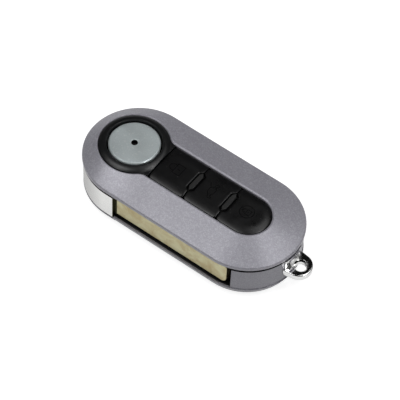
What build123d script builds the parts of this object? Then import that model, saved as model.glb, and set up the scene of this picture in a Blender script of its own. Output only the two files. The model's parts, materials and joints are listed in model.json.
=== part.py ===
from build123d import *
import math
import os

os.makedirs("parts", exist_ok=True)

# Folding remote key, blade closed. Millimetres. The origin is on the blade's pivot
# axis, in the plane of the flat back. +X runs along the key to the ring loop, -Y is
# the side that the blade swings out of, and +Z is the button side.

# Outline of the case seen from above: two round ends joined by straight sides.
CASE_RADIUS = 16.5
PIVOT_END_X = 2.0
LOOP_END_X = 39.8
BAND_INSET = 0.3
BAND_WALL = 1.5

# Heights of the three shells, from the back upwards.
LOWER_RIM_Z = 3.7
BACK_EDGE_LAND = 0.3
BAND_HEIGHT = 9.5
UPPER_RIM_HEIGHT = 1.1
CROWN_HEIGHT = 3.0
LOWER_FLOOR = 1.4
LOWER_WALL = 0.8
FLOOR_EDGE_CHAMFER = 1.05
UPPER_WALL = 1.2
UPPER_RIM_CHAMFER = 0.4
LIP_CHAMFER = 0.5
COVER_SHOULDER = 0.3
UNDERCUT = 0.9
SEAM_HEIGHT = 1.1
SEAM_DEPTH = 0.8
PIVOT_FOOT_INSET = 2.1
PIVOT_RIM_INSET = 0.2

# Keyhole opening in the upper cover: a round eye about the pivot and a straight slot.
EYE_RADIUS = 10.45
SLOT_HALF_WIDTH = 6.85
NECK_FILLET = 3.5

# Clearances.
SEAT_GAP = 0.15
RUN_GAP = 0.3
PIVOT_CLEARANCE = 0.05
FIT_CLEARANCE = 0.05
KEY_GAP = 0.15

# Black inner frame.
FRAME_FLOOR = 1.2
SLOT_WALL = 1.2
SLOT_WALL_START_GAP = 0.5
BLADE_TIP_GAP = 1.4
BAND_START_GAP = 0.8
CHAMBER_WALL = 1.0
CHAMBER_START_X = 8.2
POST_RADIUS = 4.2
POST_HEIGHT = 6.9
POST_BORE_RADIUS = 2.6
POST_BORE_DEPTH = 5.5
SCREW_POST_RADIUS = 2.0

# Blade and its chrome head.
BLADE_THICKNESS = 2.4
BLADE_LIFT = 1.2
BLADE_TOP_GAP = 0.5
BLADE_RECESS = 0.75
BLADE_TIP_X = 44.0
BLADE_TIP_RADIUS = 1.6
BLADE_EDGE_CHAMFER = 0.2
TANG_THICKNESS = 1.8
TANG_HEIGHT = 6.4
TANG_END_X = -3.0
HEAD_BLOCK_X = 4.85
HEAD_NECK_X = 5.8
HEAD_NECK_RECESS = 0.1
HEAD_NECK_DEPTH = 3.0
HEAD_NECK_LIP = 0.4
HEAD_WALL = 1.5
HEAD_HUB_RADIUS = 9.6
HEAD_POCKET_LOW_Y = -2.0
HEAD_EDGE_CHAMFER = 0.35
HEAD_WEB = 1.5
CUP_RADIUS = 6.8
PIN_RADIUS = 0.8
PIN_LENGTH = 6.2
PIN_X = 1.0
PIN_COVER = 1.1

# Round release button.
RELEASE_RADIUS = 7.5
RELEASE_TOP_Z = 17.85
RELEASE_DISC = 2.2
RELEASE_CHAMFER = 0.55
RELEASE_CROWN = 0.45
RELEASE_TRAVEL = 1.2
RELEASE_GAP = 0.3
DIMPLE_RADIUS = 0.95
DIMPLE_DEPTH = 1.4
PLUG_WALL = 1.9
PLUG_BOTTOM_Z = 11.2
PLUG_ROOF = 0.9
LUG_REACH = 8.2
LUG_WIDTH = 3.0

# Spring that turns the head and lifts the release button.
SPRING_RADIUS = 5.5
SPRING_WIRE = 0.45
SPRING_WIRE_SIDES = 6
SPRING_TURNS = 4

# Black bezel: ring around the release button, deck under the push buttons.
DECK_FLANGE = 0.65
DECK_HEIGHT = 1.8
RING_CREST = 0.45
RING_CREST_RADIUS = 9.0
RING_INNER_DROP = 0.1
NECK_DROP = 0.25

# Push buttons.
LOCK_LEFT_X = 9.9
DIVIDER_1_X = 21.85
DIVIDER_2_X = 33.25
BUTTON_DROP = 0.2
BUTTON_SPLIT = 0.24
BUTTON_TRAVEL = 0.4
BUTTON_EDGE_CHAMFER = 0.4
BUTTON_CORNER_ROUND = 1.0
STEM_RADIUS = 1.3
STEM_HOLE_GAP = 0.25
STEM_GAP = 0.05
BAR_HALF_LENGTH = 3.45
BAR_HALF_WIDTH = 0.85
BAR_POINT = 1.0
BAR_GAP = 0.3
BAR_DROP = 0.25

# Key ring loop.
LOOP_ROOT_HALF_WIDTH = 3.9
LOOP_ROOT_LOW_Z = 5.8
LOOP_ROOT_PROUD = 0.25
LOOP_FLANGE_HALF_WIDTH = 5.2
LOOP_FLANGE_WALL = 1.2
LOOP_FLANGE_OVERLAP = 0.8
TAB_LOW_Z = 6.8
TAB_THICKNESS = 1.8
TAB_NOSE_OUT = 2.0
TAB_NOSE_RADIUS = 4.0
TAB_ROOT_HALF_WIDTH = 4.3
TAB_ROOT_DEPTH = 1.0
RING_HOLE_OUT = 2.5
RING_HOLE_RADIUS = 1.6
RING_HOLE_CHAMFER = 0.45
TAB_EDGE_CHAMFER = 0.25
RAMP_HALF_WIDTH = 3.0

# Electronics.
TRAY_FLOOR = 0.9
CELL_RADIUS = 10.0
CELL_THICKNESS = 3.2
CELL_EDGE_CHAMFER = 0.4
TRAY_WALL = 0.6
TRAY_WALL_HEIGHT = 2.6
TRAY_WALL_END = 7.6
TRAY_FRONT_HEIGHT = 5.4
TRAY_FRONT_LEFT = 11.2
TRAY_FRONT_RIGHT = 10.9
TRAY_GAP = 1.85
LATCH_OUT = 9.2
LATCH_LIFT = 2.7
LATCH_HEAD_RADIUS = 1.3
LATCH_SHANK_RADIUS = 0.7
LATCH_LUG_REACH = 2.9
LATCH_HEAD_HEIGHT = 0.6
LATCH_LUG_HEIGHT = 1.2
LATCH_LUG_DEPTH = 0.9
LATCH_GROOVE = 0.4
BOARD_DROP = 4.5
BOARD_THICKNESS = 1.0
BOARD_LEFT_X = 14.0
BOARD_EDGE_GAP = 0.3
SWITCH_BODY_HEIGHT = 1.6
SWITCH_PLUNGER = 0.4
SWITCH_LENGTH = 3.2
SWITCH_WIDTH = 4.2
SWITCH_PLUNGER_RADIUS = 1.1
LOCK_SWITCH_OUT = 2.9
PAD_SHEET = 0.7
PAD_HEIGHT = 0.4
PAD_RADIUS = 1.9
PAD_RIM = 0.6
PAD_END_LEFT = 2.3
PAD_END_RIGHT = 3.7
PAD_HALF_WIDTH = 5.8
CHIP_SIZE = (6.0, 5.0, 1.2)
CHIP_X = 30.0
CRYSTAL_SIZE = (3.2, 2.5, 0.8)
CRYSTAL_X = 38.5
TRANSPONDER_LENGTH = 3.0
TRANSPONDER_WIDTH = 11.6
TRANSPONDER_GAP = 1.1
TRANSPONDER_ROOF_GAP = 0.6
CONTACT_THICKNESS = 0.3
CONTACT_WIDTH = 3.0
CONTACT_FOOT = 4.0
CONTACT_ARM = 4.0
CONTACT_TIP = 2.5
SIDE_CONTACT_WIDTH = 4.0
SIDE_CONTACT_FOOT = 1.0
SIDE_CONTACT_LOW = 0.6

# Screws that hold the bezel, the board and the frame together.
CHAMBER_SCREW_OUT = 2.2
CHAMBER_SCREW_EDGE = 3.1
WALL_SCREW_OUT = 3.2
LOOP_SCREW_EDGE = 3.2
FAR_SCREW_OUT = 6.4
NEAR_SCREW_OUT = 7.2
SCREW_RADIUS = 0.8
SCREW_HEAD_RADIUS = 1.5
SCREW_HEAD_HEIGHT = 0.7
SCREW_LENGTH = 10.0
SCREW_BOSS_RADIUS = 1.9
SCREW_CROSS = 0.35

# Values that follow from the ones above.
BAND_RADIUS = CASE_RADIUS - BAND_INSET
BAND_INNER_RADIUS = BAND_RADIUS - BAND_WALL
BACK_EDGE_RADIUS = LOWER_RIM_Z - BACK_EDGE_LAND
UPPER_LOW_Z = LOWER_RIM_Z + BAND_HEIGHT
SEAM_LOW_Z = UPPER_LOW_Z - SEAM_HEIGHT
SEAM_RADIUS = BAND_RADIUS - SEAM_DEPTH
UPPER_RIM_Z = UPPER_LOW_Z + UPPER_RIM_HEIGHT
OPENING_Z = UPPER_RIM_Z + CROWN_HEIGHT
NECK_Y = SLOT_HALF_WIDTH + NECK_FILLET
NECK_X = math.sqrt((EYE_RADIUS + NECK_FILLET) ** 2 - NECK_Y**2)
FRAME_TOP_Z = LOWER_FLOOR + FRAME_FLOOR
FRAME_RADIUS = CASE_RADIUS - LOWER_WALL - SEAT_GAP
GATE_Z = FRAME_TOP_Z + STEM_GAP
HEAD_LOW_Z = FRAME_TOP_Z + RUN_GAP
HEAD_TOP_Z = UPPER_LOW_Z - RUN_GAP
DRUM_RADIUS = BAND_RADIUS - PIVOT_END_X
BLADE_LOW_Z = LOWER_RIM_Z + BLADE_LIFT
BLADE_HEIGHT = BAND_HEIGHT - BLADE_LIFT - BLADE_TOP_GAP
BLADE_MID_Z = BLADE_LOW_Z + BLADE_HEIGHT / 2
BLADE_OUTER_Y = -(BAND_RADIUS - BLADE_RECESS)
BLADE_INNER_Y = BLADE_OUTER_Y + BLADE_THICKNESS
TANG_OUTER_Y = BLADE_INNER_Y - TANG_THICKNESS
HEAD_NECK_Y = BLADE_OUTER_Y + HEAD_NECK_RECESS
SLOT_WALL_OUTER_Y = BLADE_INNER_Y + RUN_GAP + SEAT_GAP
SLOT_WALL_INNER_Y = SLOT_WALL_OUTER_Y + SLOT_WALL
SLOT_WALL_START_X = math.sqrt(DRUM_RADIUS**2 - SLOT_WALL_INNER_Y**2) + SLOT_WALL_START_GAP
BLADE_SLOT_END_X = BLADE_TIP_X + BLADE_TIP_GAP
GATE_X = HEAD_BLOCK_X + SEAT_GAP
SWEEP_RADIUS = math.hypot(BAND_RADIUS, HEAD_BLOCK_X) + RUN_GAP
BAND_START_X = math.sqrt(BAND_RADIUS**2 - BAND_INNER_RADIUS**2) - PIVOT_END_X + BAND_START_GAP
CHAMBER_START_Y = math.sqrt(BAND_RADIUS**2 - (CHAMBER_START_X + PIVOT_END_X) ** 2)
CHAMBER_RADIUS = math.hypot(CHAMBER_START_X, CHAMBER_START_Y) + RUN_GAP
CHAMBER_OUTER_RADIUS = CHAMBER_RADIUS + CHAMBER_WALL
TAB_ROOT_X = LOOP_END_X + BAND_RADIUS - TAB_ROOT_DEPTH
TAB_NOSE_X = LOOP_END_X + BAND_RADIUS + TAB_NOSE_OUT
RING_HOLE_X = LOOP_END_X + BAND_RADIUS + RING_HOLE_OUT
RAMP_FOOT_X = RING_HOLE_X - RING_HOLE_RADIUS - RING_HOLE_CHAMFER
FLANGE_RADIUS = BAND_INNER_RADIUS - RUN_GAP
FLANGE_INNER_RADIUS = FLANGE_RADIUS - LOOP_FLANGE_WALL
DECK_RADIUS = CASE_RADIUS - UPPER_WALL - SEAT_GAP
DECK_TOP_Z = UPPER_LOW_Z + DECK_HEIGHT
BEZEL_OFFSET = -SEAT_GAP
RELEASE_BORE_RADIUS = RELEASE_RADIUS + RELEASE_GAP
PLUG_RADIUS = CUP_RADIUS - RUN_GAP
CROWN_EDGE_RADIUS = RELEASE_RADIUS - RELEASE_CHAMFER
LUG_TOP_Z = UPPER_LOW_Z - RUN_GAP
BUTTON_TOP_Z = OPENING_Z - BUTTON_DROP
BUTTON_LOW_Z = DECK_TOP_Z + BUTTON_TRAVEL + STEM_GAP
TRANSPONDER_X = CHAMBER_OUTER_RADIUS + TRANSPONDER_GAP + TRANSPONDER_LENGTH / 2
TRAY_RECESS_RADIUS = CELL_RADIUS + SEAT_GAP
TRAY_OUTER_RADIUS = TRAY_RECESS_RADIUS + TRAY_WALL
CELL_X = TRANSPONDER_X + TRANSPONDER_LENGTH / 2 + TRAY_GAP + TRAY_OUTER_RADIUS
BAY_MID_Y = (SLOT_WALL_INNER_Y + BAND_INNER_RADIUS) / 2
TRAY_FRONT_LEFT_X = CELL_X - TRAY_FRONT_LEFT
TRAY_FRONT_RIGHT_X = CELL_X + TRAY_FRONT_RIGHT
LATCH_X = CELL_X + LATCH_OUT
TRAY_LOW_Z = FRAME_TOP_Z + STEM_GAP
CELL_LOW_Z = TRAY_LOW_Z + TRAY_FLOOR
CELL_TOP_Z = CELL_LOW_Z + CELL_THICKNESS
BOARD_Z = UPPER_LOW_Z - BOARD_DROP
BOARD_TOP_Z = BOARD_Z + BOARD_THICKNESS
TRANSPONDER_HEIGHT = BOARD_Z - TRANSPONDER_ROOF_GAP - FRAME_TOP_Z
BOARD_RADIUS = BAND_INNER_RADIUS - BOARD_EDGE_GAP
FLANGE_INNER_X = math.sqrt(FLANGE_INNER_RADIUS**2 - LOOP_FLANGE_HALF_WIDTH**2)
BOARD_RIGHT_X = LOOP_END_X + FLANGE_INNER_X - BOARD_EDGE_GAP
LOCK_SWITCH_X = CHAMBER_OUTER_RADIUS + LOCK_SWITCH_OUT
BOOT_SWITCH_X = (DIVIDER_1_X + DIVIDER_2_X) / 2
UNLOCK_SWITCH_X = LOOP_END_X
CHIP_Y = (PAD_HALF_WIDTH + BOARD_RADIUS) / 2
PAD_LOW_Z = BOARD_TOP_Z + SWITCH_BODY_HEIGHT + SWITCH_PLUNGER
PAD_TOP_Z = PAD_LOW_Z + PAD_SHEET + PAD_HEIGHT
STEM_LOW_Z = PAD_TOP_Z + BUTTON_TRAVEL + STEM_GAP
SCREW_HEAD_LOW_Z = LOWER_FLOOR + STEM_GAP
SCREW_SHANK_Z = SCREW_HEAD_LOW_Z + SCREW_HEAD_HEIGHT
SCREW_TOP_Z = SCREW_SHANK_Z + SCREW_LENGTH
LOOP_SCREW_RADIUS = BAND_INNER_RADIUS - LOOP_SCREW_EDGE
SCREW_PLACES = (
    (CHAMBER_OUTER_RADIUS + CHAMBER_SCREW_OUT, BAND_INNER_RADIUS - CHAMBER_SCREW_EDGE),
    (LOOP_END_X + FAR_SCREW_OUT, math.sqrt(LOOP_SCREW_RADIUS**2 - FAR_SCREW_OUT**2)),
    (LOOP_END_X + NEAR_SCREW_OUT, SLOT_WALL_INNER_Y + WALL_SCREW_OUT),
    (CHAMBER_OUTER_RADIUS + CHAMBER_SCREW_OUT, SLOT_WALL_INNER_Y + WALL_SCREW_OUT),
)
FAR = 200.0


def slab(x0, x1, y0, y1, z0, z1):
    """Block between two corners."""
    return Pos((x0 + x1) / 2, (y0 + y1) / 2, (z0 + z1) / 2) * Box(x1 - x0, y1 - y0, z1 - z0)


def rod(radius, z0, z1, x=0.0, y=0.0):
    """Upright cylinder between two heights."""
    return Pos(x, y, (z0 + z1) / 2) * Cylinder(radius, z1 - z0)


def wire_face(edges, z):
    """Flat face inside a closed run of edges, lifted to height z."""
    return Pos(0, 0, z) * Face(Wire([piece.edge() for piece in edges]))


def stadium(radius, z=0.0):
    """Case outline of the given radius: four edges about the two end centres."""
    a, b, r = PIVOT_END_X, LOOP_END_X, radius
    return wire_face(
        [
            ThreePointArc((a, r), (a - r, 0), (a, -r)),
            Line((a, -r), (b, -r)),
            ThreePointArc((b, -r), (b + r, 0), (b, r)),
            Line((b, r), (a, r)),
        ],
        z,
    )


def keyhole(offset=0.0, z=0.0, square_end=False):
    """Keyhole outline grown by offset: eye, two neck fillets, two sides, round end."""
    eye, half, neck = EYE_RADIUS + offset, SLOT_HALF_WIDTH + offset, NECK_FILLET - offset
    tx, ty = NECK_X * eye / (EYE_RADIUS + NECK_FILLET), NECK_Y * eye / (EYE_RADIUS + NECK_FILLET)
    middle = (math.atan2(-NECK_Y, -NECK_X) - math.pi / 2) / 2
    mx, my = NECK_X + neck * math.cos(middle), NECK_Y + neck * math.sin(middle)
    end = LOOP_END_X
    last = ThreePointArc((end, -half), (end + half, 0), (end, half))
    if square_end:
        last = Line((end, -half), (end, half))
    return wire_face(
        [
            ThreePointArc((tx, ty), (-eye, 0), (tx, -ty)),
            ThreePointArc((tx, -ty), (mx, -my), (NECK_X, -half)),
            Line((NECK_X, -half), (end, -half)),
            last,
            Line((end, half), (NECK_X, half)),
            ThreePointArc((NECK_X, half), (mx, my), (tx, ty)),
        ],
        z,
    )


def pivot_part_outline(radius, z):
    """Case outline up to the loop-end centre, in the keyhole's six edges so that it lofts to one."""
    a, b, r = PIVOT_END_X, LOOP_END_X, radius
    return wire_face(
        [
            ThreePointArc((a, r), (a - r, 0), (a, -r)),
            Line((a, -r), (NECK_X, -r)),
            Line((NECK_X, -r), (b, -r)),
            Line((b, -r), (b, r)),
            Line((b, r), (NECK_X, r)),
            Line((NECK_X, r), (a, r)),
        ],
        z,
    )


def crown(radius, low_z, offset, high_z):
    """Solid from the case outline up to the keyhole: a ruled part and a cone round the loop end."""
    ruled = loft([pivot_part_outline(radius, low_z), keyhole(offset, high_z, True)], ruled=True)
    cone = Cone(radius, SLOT_HALF_WIDTH + offset, high_z - low_z)
    cone = Pos(LOOP_END_X, 0, (low_z + high_z) / 2) * cone
    return ruled + (cone & slab(LOOP_END_X, FAR, -FAR, FAR, 0, FAR))


def edges_at(solid, z):
    """Edges of a solid that lie at height z."""
    return solid.edges().filter_by(lambda edge: abs(edge.center().Z - z) < 1e-3)


def make_upper_cover():
    """Painted shell: a low rim, a slope up to the keyhole opening, hollow underneath."""
    body = crown(CASE_RADIUS, UPPER_RIM_Z, 0, OPENING_Z)
    body += extrude(stadium(CASE_RADIUS, UPPER_LOW_Z), UPPER_RIM_HEIGHT)
    body = chamfer(edges_at(body, UPPER_RIM_Z), UPPER_RIM_CHAMFER)
    inner, shoulder_z = CASE_RADIUS - UPPER_WALL, UPPER_RIM_Z - COVER_SHOULDER
    hollow = crown(inner, shoulder_z, UNDERCUT, OPENING_Z - UPPER_WALL)
    hollow += extrude(stadium(inner, UPPER_LOW_Z), shoulder_z - UPPER_LOW_Z)
    lip = loft([keyhole(0, OPENING_Z - LIP_CHAMFER), keyhole(LIP_CHAMFER, OPENING_Z)], ruled=True)
    return body - hollow - extrude(keyhole(0, UPPER_LOW_Z), CROWN_HEIGHT + UPPER_RIM_HEIGHT) - lip


def make_lower_cover():
    """Painted dish with a flat back and rounded edge, drawn in and lowered under the head."""
    body = extrude(stadium(CASE_RADIUS), LOWER_RIM_Z)
    body = fillet(edges_at(body, 0), BACK_EDGE_RADIUS)
    hollow = extrude(stadium(CASE_RADIUS - LOWER_WALL, LOWER_FLOOR), LOWER_RIM_Z)
    body = body - chamfer(edges_at(hollow, LOWER_FLOOR), FLOOR_EDGE_CHAMFER)
    foot, rim = stadium(CASE_RADIUS - PIVOT_FOOT_INSET), stadium(CASE_RADIUS - PIVOT_RIM_INSET, GATE_Z)
    return body - (slab(-FAR, GATE_X, -FAR, FAR, 0, FAR) - loft([foot, rim], ruled=True))


def seam_cutter():
    """Everything outside the narrow strip that leaves a shadow gap under the upper cover."""
    block = slab(-FAR, FAR, -FAR, FAR, SEAM_LOW_Z, UPPER_LOW_Z)
    return block - extrude(stadium(SEAM_RADIUS, SEAM_LOW_Z), SEAM_HEIGHT)


def make_side_band():
    """Painted middle wall: from the blade slot's end round the loop end to the far side."""
    wall = extrude(stadium(BAND_RADIUS, LOWER_RIM_Z), BAND_HEIGHT)
    wall = wall - extrude(stadium(BAND_INNER_RADIUS, LOWER_RIM_Z), BAND_HEIGHT)
    wall = wall - slab(-FAR, BAND_START_X, -FAR, FAR, 0, FAR)
    wall = wall - slab(-FAR, BLADE_SLOT_END_X, -FAR, 0, 0, FAR) - seam_cutter()
    half = LOOP_ROOT_HALF_WIDTH
    return wall - slab(LOOP_END_X, FAR, -half, half, LOOP_ROOT_LOW_Z, SEAM_LOW_Z)


def screw_posts(radius, z0, z1):
    """One upright cylinder at each screw."""
    return [rod(radius, z0, z1, x, y) for x, y in SCREW_PLACES]


def make_inner_frame():
    """Black moulding: floor, pivot post, blade slot, head chamber wall and screw posts."""
    body = extrude(stadium(FRAME_RADIUS, LOWER_FLOOR), FRAME_FLOOR)
    body = chamfer(edges_at(body, LOWER_FLOOR), FLOOR_EDGE_CHAMFER)
    slot_floor = slab(
        0, BLADE_SLOT_END_X, -FRAME_RADIUS, SLOT_WALL_OUTER_Y, FRAME_TOP_Z, LOWER_RIM_Z - SEAT_GAP
    )
    body += (slot_floor & extrude(stadium(FRAME_RADIUS), FAR)) - rod(SWEEP_RADIUS, 0, FAR)
    body += slab(
        SLOT_WALL_START_X, BLADE_SLOT_END_X, SLOT_WALL_OUTER_Y, SLOT_WALL_INNER_Y, FRAME_TOP_Z, UPPER_LOW_Z
    )
    ring = rod(CHAMBER_OUTER_RADIUS, FRAME_TOP_Z, UPPER_LOW_Z) - rod(CHAMBER_RADIUS, 0, FAR)
    body += ring & slab(CHAMBER_START_X, FAR, SLOT_WALL_OUTER_Y, FAR, 0, FAR)
    stop = stadium(BAND_INNER_RADIUS - SEAT_GAP, FRAME_TOP_Z)
    stop_block = slab(
        BLADE_SLOT_END_X, BLADE_SLOT_END_X + SLOT_WALL, -FAR, SLOT_WALL_INNER_Y, 0, UPPER_LOW_Z
    )
    body += extrude(stop, UPPER_LOW_Z - FRAME_TOP_Z) & stop_block
    body += rod(POST_RADIUS, FRAME_TOP_Z, FRAME_TOP_Z + POST_HEIGHT)
    post_top = FRAME_TOP_Z + POST_HEIGHT
    body -= rod(POST_BORE_RADIUS, post_top - POST_BORE_DEPTH, post_top)
    for post in screw_posts(SCREW_POST_RADIUS, FRAME_TOP_Z, BOARD_Z):
        body += post
    for bore in screw_posts(SCREW_RADIUS + KEY_GAP, 0, FAR):
        body -= bore
    for seat in screw_posts(SCREW_HEAD_RADIUS + KEY_GAP, 0, SCREW_SHANK_Z + STEM_GAP):
        body -= seat
    front_low, front_high = TRAY_LOW_Z - STEM_GAP, TRAY_LOW_Z + TRAY_FRONT_HEIGHT + SEAT_GAP
    body -= slab(
        TRAY_FRONT_LEFT_X - SEAT_GAP,
        TRAY_FRONT_RIGHT_X + SEAT_GAP,
        SLOT_WALL_OUTER_Y,
        SLOT_WALL_INNER_Y,
        front_low,
        front_high,
    )
    return body


def make_key_ring_loop():
    """Chrome casting: curved flange inside the band, root block, ramp and drilled tab."""
    centre = LOOP_END_X
    half = LOOP_ROOT_HALF_WIDTH - SEAT_GAP
    low, high = LOOP_ROOT_LOW_Z + SEAT_GAP, SEAM_LOW_Z - SEAT_GAP
    flange = rod(FLANGE_RADIUS, low - LOOP_FLANGE_OVERLAP, high + LOOP_FLANGE_OVERLAP, centre)
    flange = flange & slab(centre, FAR, -LOOP_FLANGE_HALF_WIDTH, LOOP_FLANGE_HALF_WIDTH, 0, FAR)
    face_r = BAND_RADIUS + LOOP_ROOT_PROUD
    root = rod(face_r, low, high, centre) & slab(centre, FAR, -half, half, 0, FAR)
    tab_high = TAB_LOW_Z + TAB_THICKNESS
    root_edge = Pos(TAB_ROOT_X, 0) * Rectangle(TAB_ROOT_DEPTH, 2 * TAB_ROOT_HALF_WIDTH)
    nose = Pos(TAB_NOSE_X, 0) * Circle(TAB_NOSE_RADIUS)
    tab = extrude(Pos(0, 0, TAB_LOW_Z) * make_hull(nose.edges() + root_edge.edges()), TAB_THICKNESS)
    tab = chamfer(edges_at(tab, tab_high) + edges_at(tab, TAB_LOW_Z), TAB_EDGE_CHAMFER)
    tab = tab - rod(BAND_RADIUS + SEAT_GAP, 0, FAR, centre)
    back = centre + BAND_RADIUS - LOOP_ROOT_PROUD
    side = Polygon((back, tab_high), (RAMP_FOOT_X, tab_high), (back, high), align=None)
    ramp = extrude(Plane.XZ * side, RAMP_HALF_WIDTH, both=True)
    body = flange + root + tab + ramp - rod(FLANGE_INNER_RADIUS, 0, FAR, centre)
    hole = rod(RING_HOLE_RADIUS, 0, FAR, RING_HOLE_X)
    sink = Cone(RING_HOLE_RADIUS, RING_HOLE_RADIUS + RING_HOLE_CHAMFER, RING_HOLE_CHAMFER)
    upper_sink = Pos(RING_HOLE_X, 0, tab_high - RING_HOLE_CHAMFER / 2) * sink
    lower_sink = Pos(RING_HOLE_X, 0, TAB_LOW_Z + RING_HOLE_CHAMFER / 2) * Rot(180, 0, 0) * sink
    return body - hole - upper_sink - lower_sink


def bar_outline(grow):
    """Long hexagon of the divider bars, grown by the given gap."""
    w, length = BAR_HALF_WIDTH + grow, BAR_HALF_LENGTH + grow
    side = length - BAR_POINT
    return Polygon((0, length), (-w, side), (-w, -side), (0, -length), (w, -side), (w, side), align=None)


def make_button_bezel():
    """Black moulding: flange, deck, crowned ring, neck, divider bars and screw bosses."""
    body = extrude(stadium(DECK_RADIUS, UPPER_LOW_Z), DECK_FLANGE)
    body += extrude(keyhole(BEZEL_OFFSET, UPPER_LOW_Z), DECK_HEIGHT)
    neck = extrude(keyhole(BEZEL_OFFSET, UPPER_LOW_Z), OPENING_Z - NECK_DROP - UPPER_LOW_Z)
    before_buttons = slab(-FAR, LOCK_LEFT_X - BUTTON_SPLIT, -FAR, FAR, 0, FAR)
    body += neck & before_buttons
    inner, outer = RELEASE_BORE_RADIUS, EYE_RADIUS + BEZEL_OFFSET
    edge_z, crest_z = OPENING_Z - NECK_DROP, OPENING_Z + RING_CREST
    section = Wire(
        [
            Line((inner, 0, UPPER_LOW_Z), (outer, 0, UPPER_LOW_Z)).edge(),
            Line((outer, 0, UPPER_LOW_Z), (outer, 0, edge_z)).edge(),
            ThreePointArc(
                (outer, 0, edge_z), (RING_CREST_RADIUS, 0, crest_z), (inner, 0, crest_z - RING_INNER_DROP)
            ).edge(),
            Line((inner, 0, crest_z - RING_INNER_DROP), (inner, 0, UPPER_LOW_Z)).edge(),
        ]
    )
    body += revolve(Face(section), Axis.Z) & before_buttons
    body -= rod(inner, 0, FAR)
    for x in (DIVIDER_1_X, DIVIDER_2_X):
        body += Pos(x, 0, DECK_TOP_Z) * extrude(bar_outline(0), BUTTON_TOP_Z - BAR_DROP - DECK_TOP_Z)
    for x in (LOCK_SWITCH_X, BOOT_SWITCH_X, UNLOCK_SWITCH_X):
        body -= rod(STEM_RADIUS + STEM_HOLE_GAP, 0, FAR, x)
    for boss in screw_posts(SCREW_BOSS_RADIUS, BOARD_TOP_Z, UPPER_LOW_Z + DECK_FLANGE):
        body += boss
    for bore in screw_posts(SCREW_RADIUS + FIT_CLEARANCE, 0, SCREW_TOP_Z + RUN_GAP):
        body -= bore
    return body


def make_push_button(left, right, switch_x):
    """One push button: a piece of the keyhole with rounded edges, and a stem below."""
    outline = keyhole(BEZEL_OFFSET) & Pos((left + right) / 2, 0) * Rectangle(right - left, FAR)
    corners = outline.vertices().filter_by(lambda v: abs(v.X - left) < 1e-3 or abs(v.X - right) < 1e-3)
    corners = corners.filter_by(lambda v: abs(v.Y) > SLOT_HALF_WIDTH / 2)
    outline = fillet(corners, BUTTON_CORNER_ROUND)
    body = extrude(Pos(0, 0, BUTTON_LOW_Z) * outline, BUTTON_TOP_Z - BUTTON_LOW_Z)
    body = chamfer(edges_at(body, BUTTON_TOP_Z), BUTTON_EDGE_CHAMFER)
    for x in (DIVIDER_1_X, DIVIDER_2_X):
        body -= Pos(x, 0, 0) * extrude(bar_outline(BAR_GAP), FAR)
    return body + rod(STEM_RADIUS, STEM_LOW_Z, BUTTON_LOW_Z, switch_x)


def across(radius, y0, y1, x, z):
    """Cylinder along Y between two places."""
    return Pos(x, (y0 + y1) / 2, z) * Rot(90, 0, 0) * Cylinder(radius, y1 - y0)


def make_blade():
    """Uncut steel blade: flat bar with a rounded tip, and a thinner tang with a pin hole."""
    low, high = BLADE_LOW_Z, BLADE_LOW_Z + BLADE_HEIGHT
    bar = slab(HEAD_NECK_X, BLADE_TIP_X, BLADE_OUTER_Y, BLADE_INNER_Y, low, high)
    tip = bar.edges().filter_by(Axis.Y).filter_by(lambda e: abs(e.center().X - BLADE_TIP_X) < 1e-3)
    bar = fillet(tip, BLADE_TIP_RADIUS)
    rims = bar.faces().filter_by(Axis.Y).edges()
    rims = rims.filter_by(lambda e: abs(e.center().X - HEAD_NECK_X) > 1e-3)
    bar = chamfer(rims, BLADE_EDGE_CHAMFER)
    low, high = BLADE_MID_Z - TANG_HEIGHT / 2, BLADE_MID_Z + TANG_HEIGHT / 2
    tang = slab(TANG_END_X, HEAD_NECK_X, TANG_OUTER_Y, BLADE_INNER_Y, low, high)
    return bar + tang - across(PIN_RADIUS + FIT_CLEARANCE, -FAR, FAR, PIN_X, BLADE_MID_Z)


def make_blade_head():
    """Chrome head: drum with the case's end wall on one side, cup, keyways and tang slot."""
    tall = HEAD_TOP_Z - HEAD_LOW_Z
    body = rod(DRUM_RADIUS, HEAD_LOW_Z, HEAD_TOP_Z)
    wall = extrude(stadium(BAND_RADIUS, HEAD_LOW_Z), tall)
    body += wall & slab(-FAR, HEAD_BLOCK_X, -FAR, 0, 0, FAR)
    body = chamfer(edges_at(body, HEAD_TOP_Z) + edges_at(body, HEAD_LOW_Z), HEAD_EDGE_CHAMFER)
    body -= seam_cutter()
    neck_low = BLADE_LOW_Z - HEAD_NECK_LIP
    body += slab(0, HEAD_NECK_X, HEAD_NECK_Y, HEAD_NECK_Y + HEAD_NECK_DEPTH, neck_low, HEAD_TOP_Z)
    web_z = HEAD_LOW_Z + HEAD_WEB
    body -= rod(CUP_RADIUS, web_z, FAR)
    body -= rod(POST_RADIUS + PIVOT_CLEARANCE, 0, FAR)
    pocket = rod(DRUM_RADIUS - HEAD_WALL, web_z, FAR) - rod(HEAD_HUB_RADIUS, 0, FAR)
    body -= pocket & slab(-FAR, FAR, HEAD_POCKET_LOW_Y, FAR, 0, FAR)
    reach, half = LUG_REACH + KEY_GAP, LUG_WIDTH / 2 + KEY_GAP
    key_low = PLUG_BOTTOM_Z - RELEASE_TRAVEL - KEY_GAP
    body -= slab(-reach, reach, -half, half, key_low, FAR) & rod(reach, 0, FAR)
    half = TANG_HEIGHT / 2 + FIT_CLEARANCE
    body -= slab(
        TANG_END_X - FIT_CLEARANCE,
        FAR,
        TANG_OUTER_Y - FIT_CLEARANCE,
        BLADE_INNER_Y + FIT_CLEARANCE,
        BLADE_MID_Z - half,
        BLADE_MID_Z + half,
    )
    blind_y = -(BAND_RADIUS - PIN_COVER)
    return body - across(PIN_RADIUS + FIT_CLEARANCE, blind_y, 0, PIN_X, BLADE_MID_Z)


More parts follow.
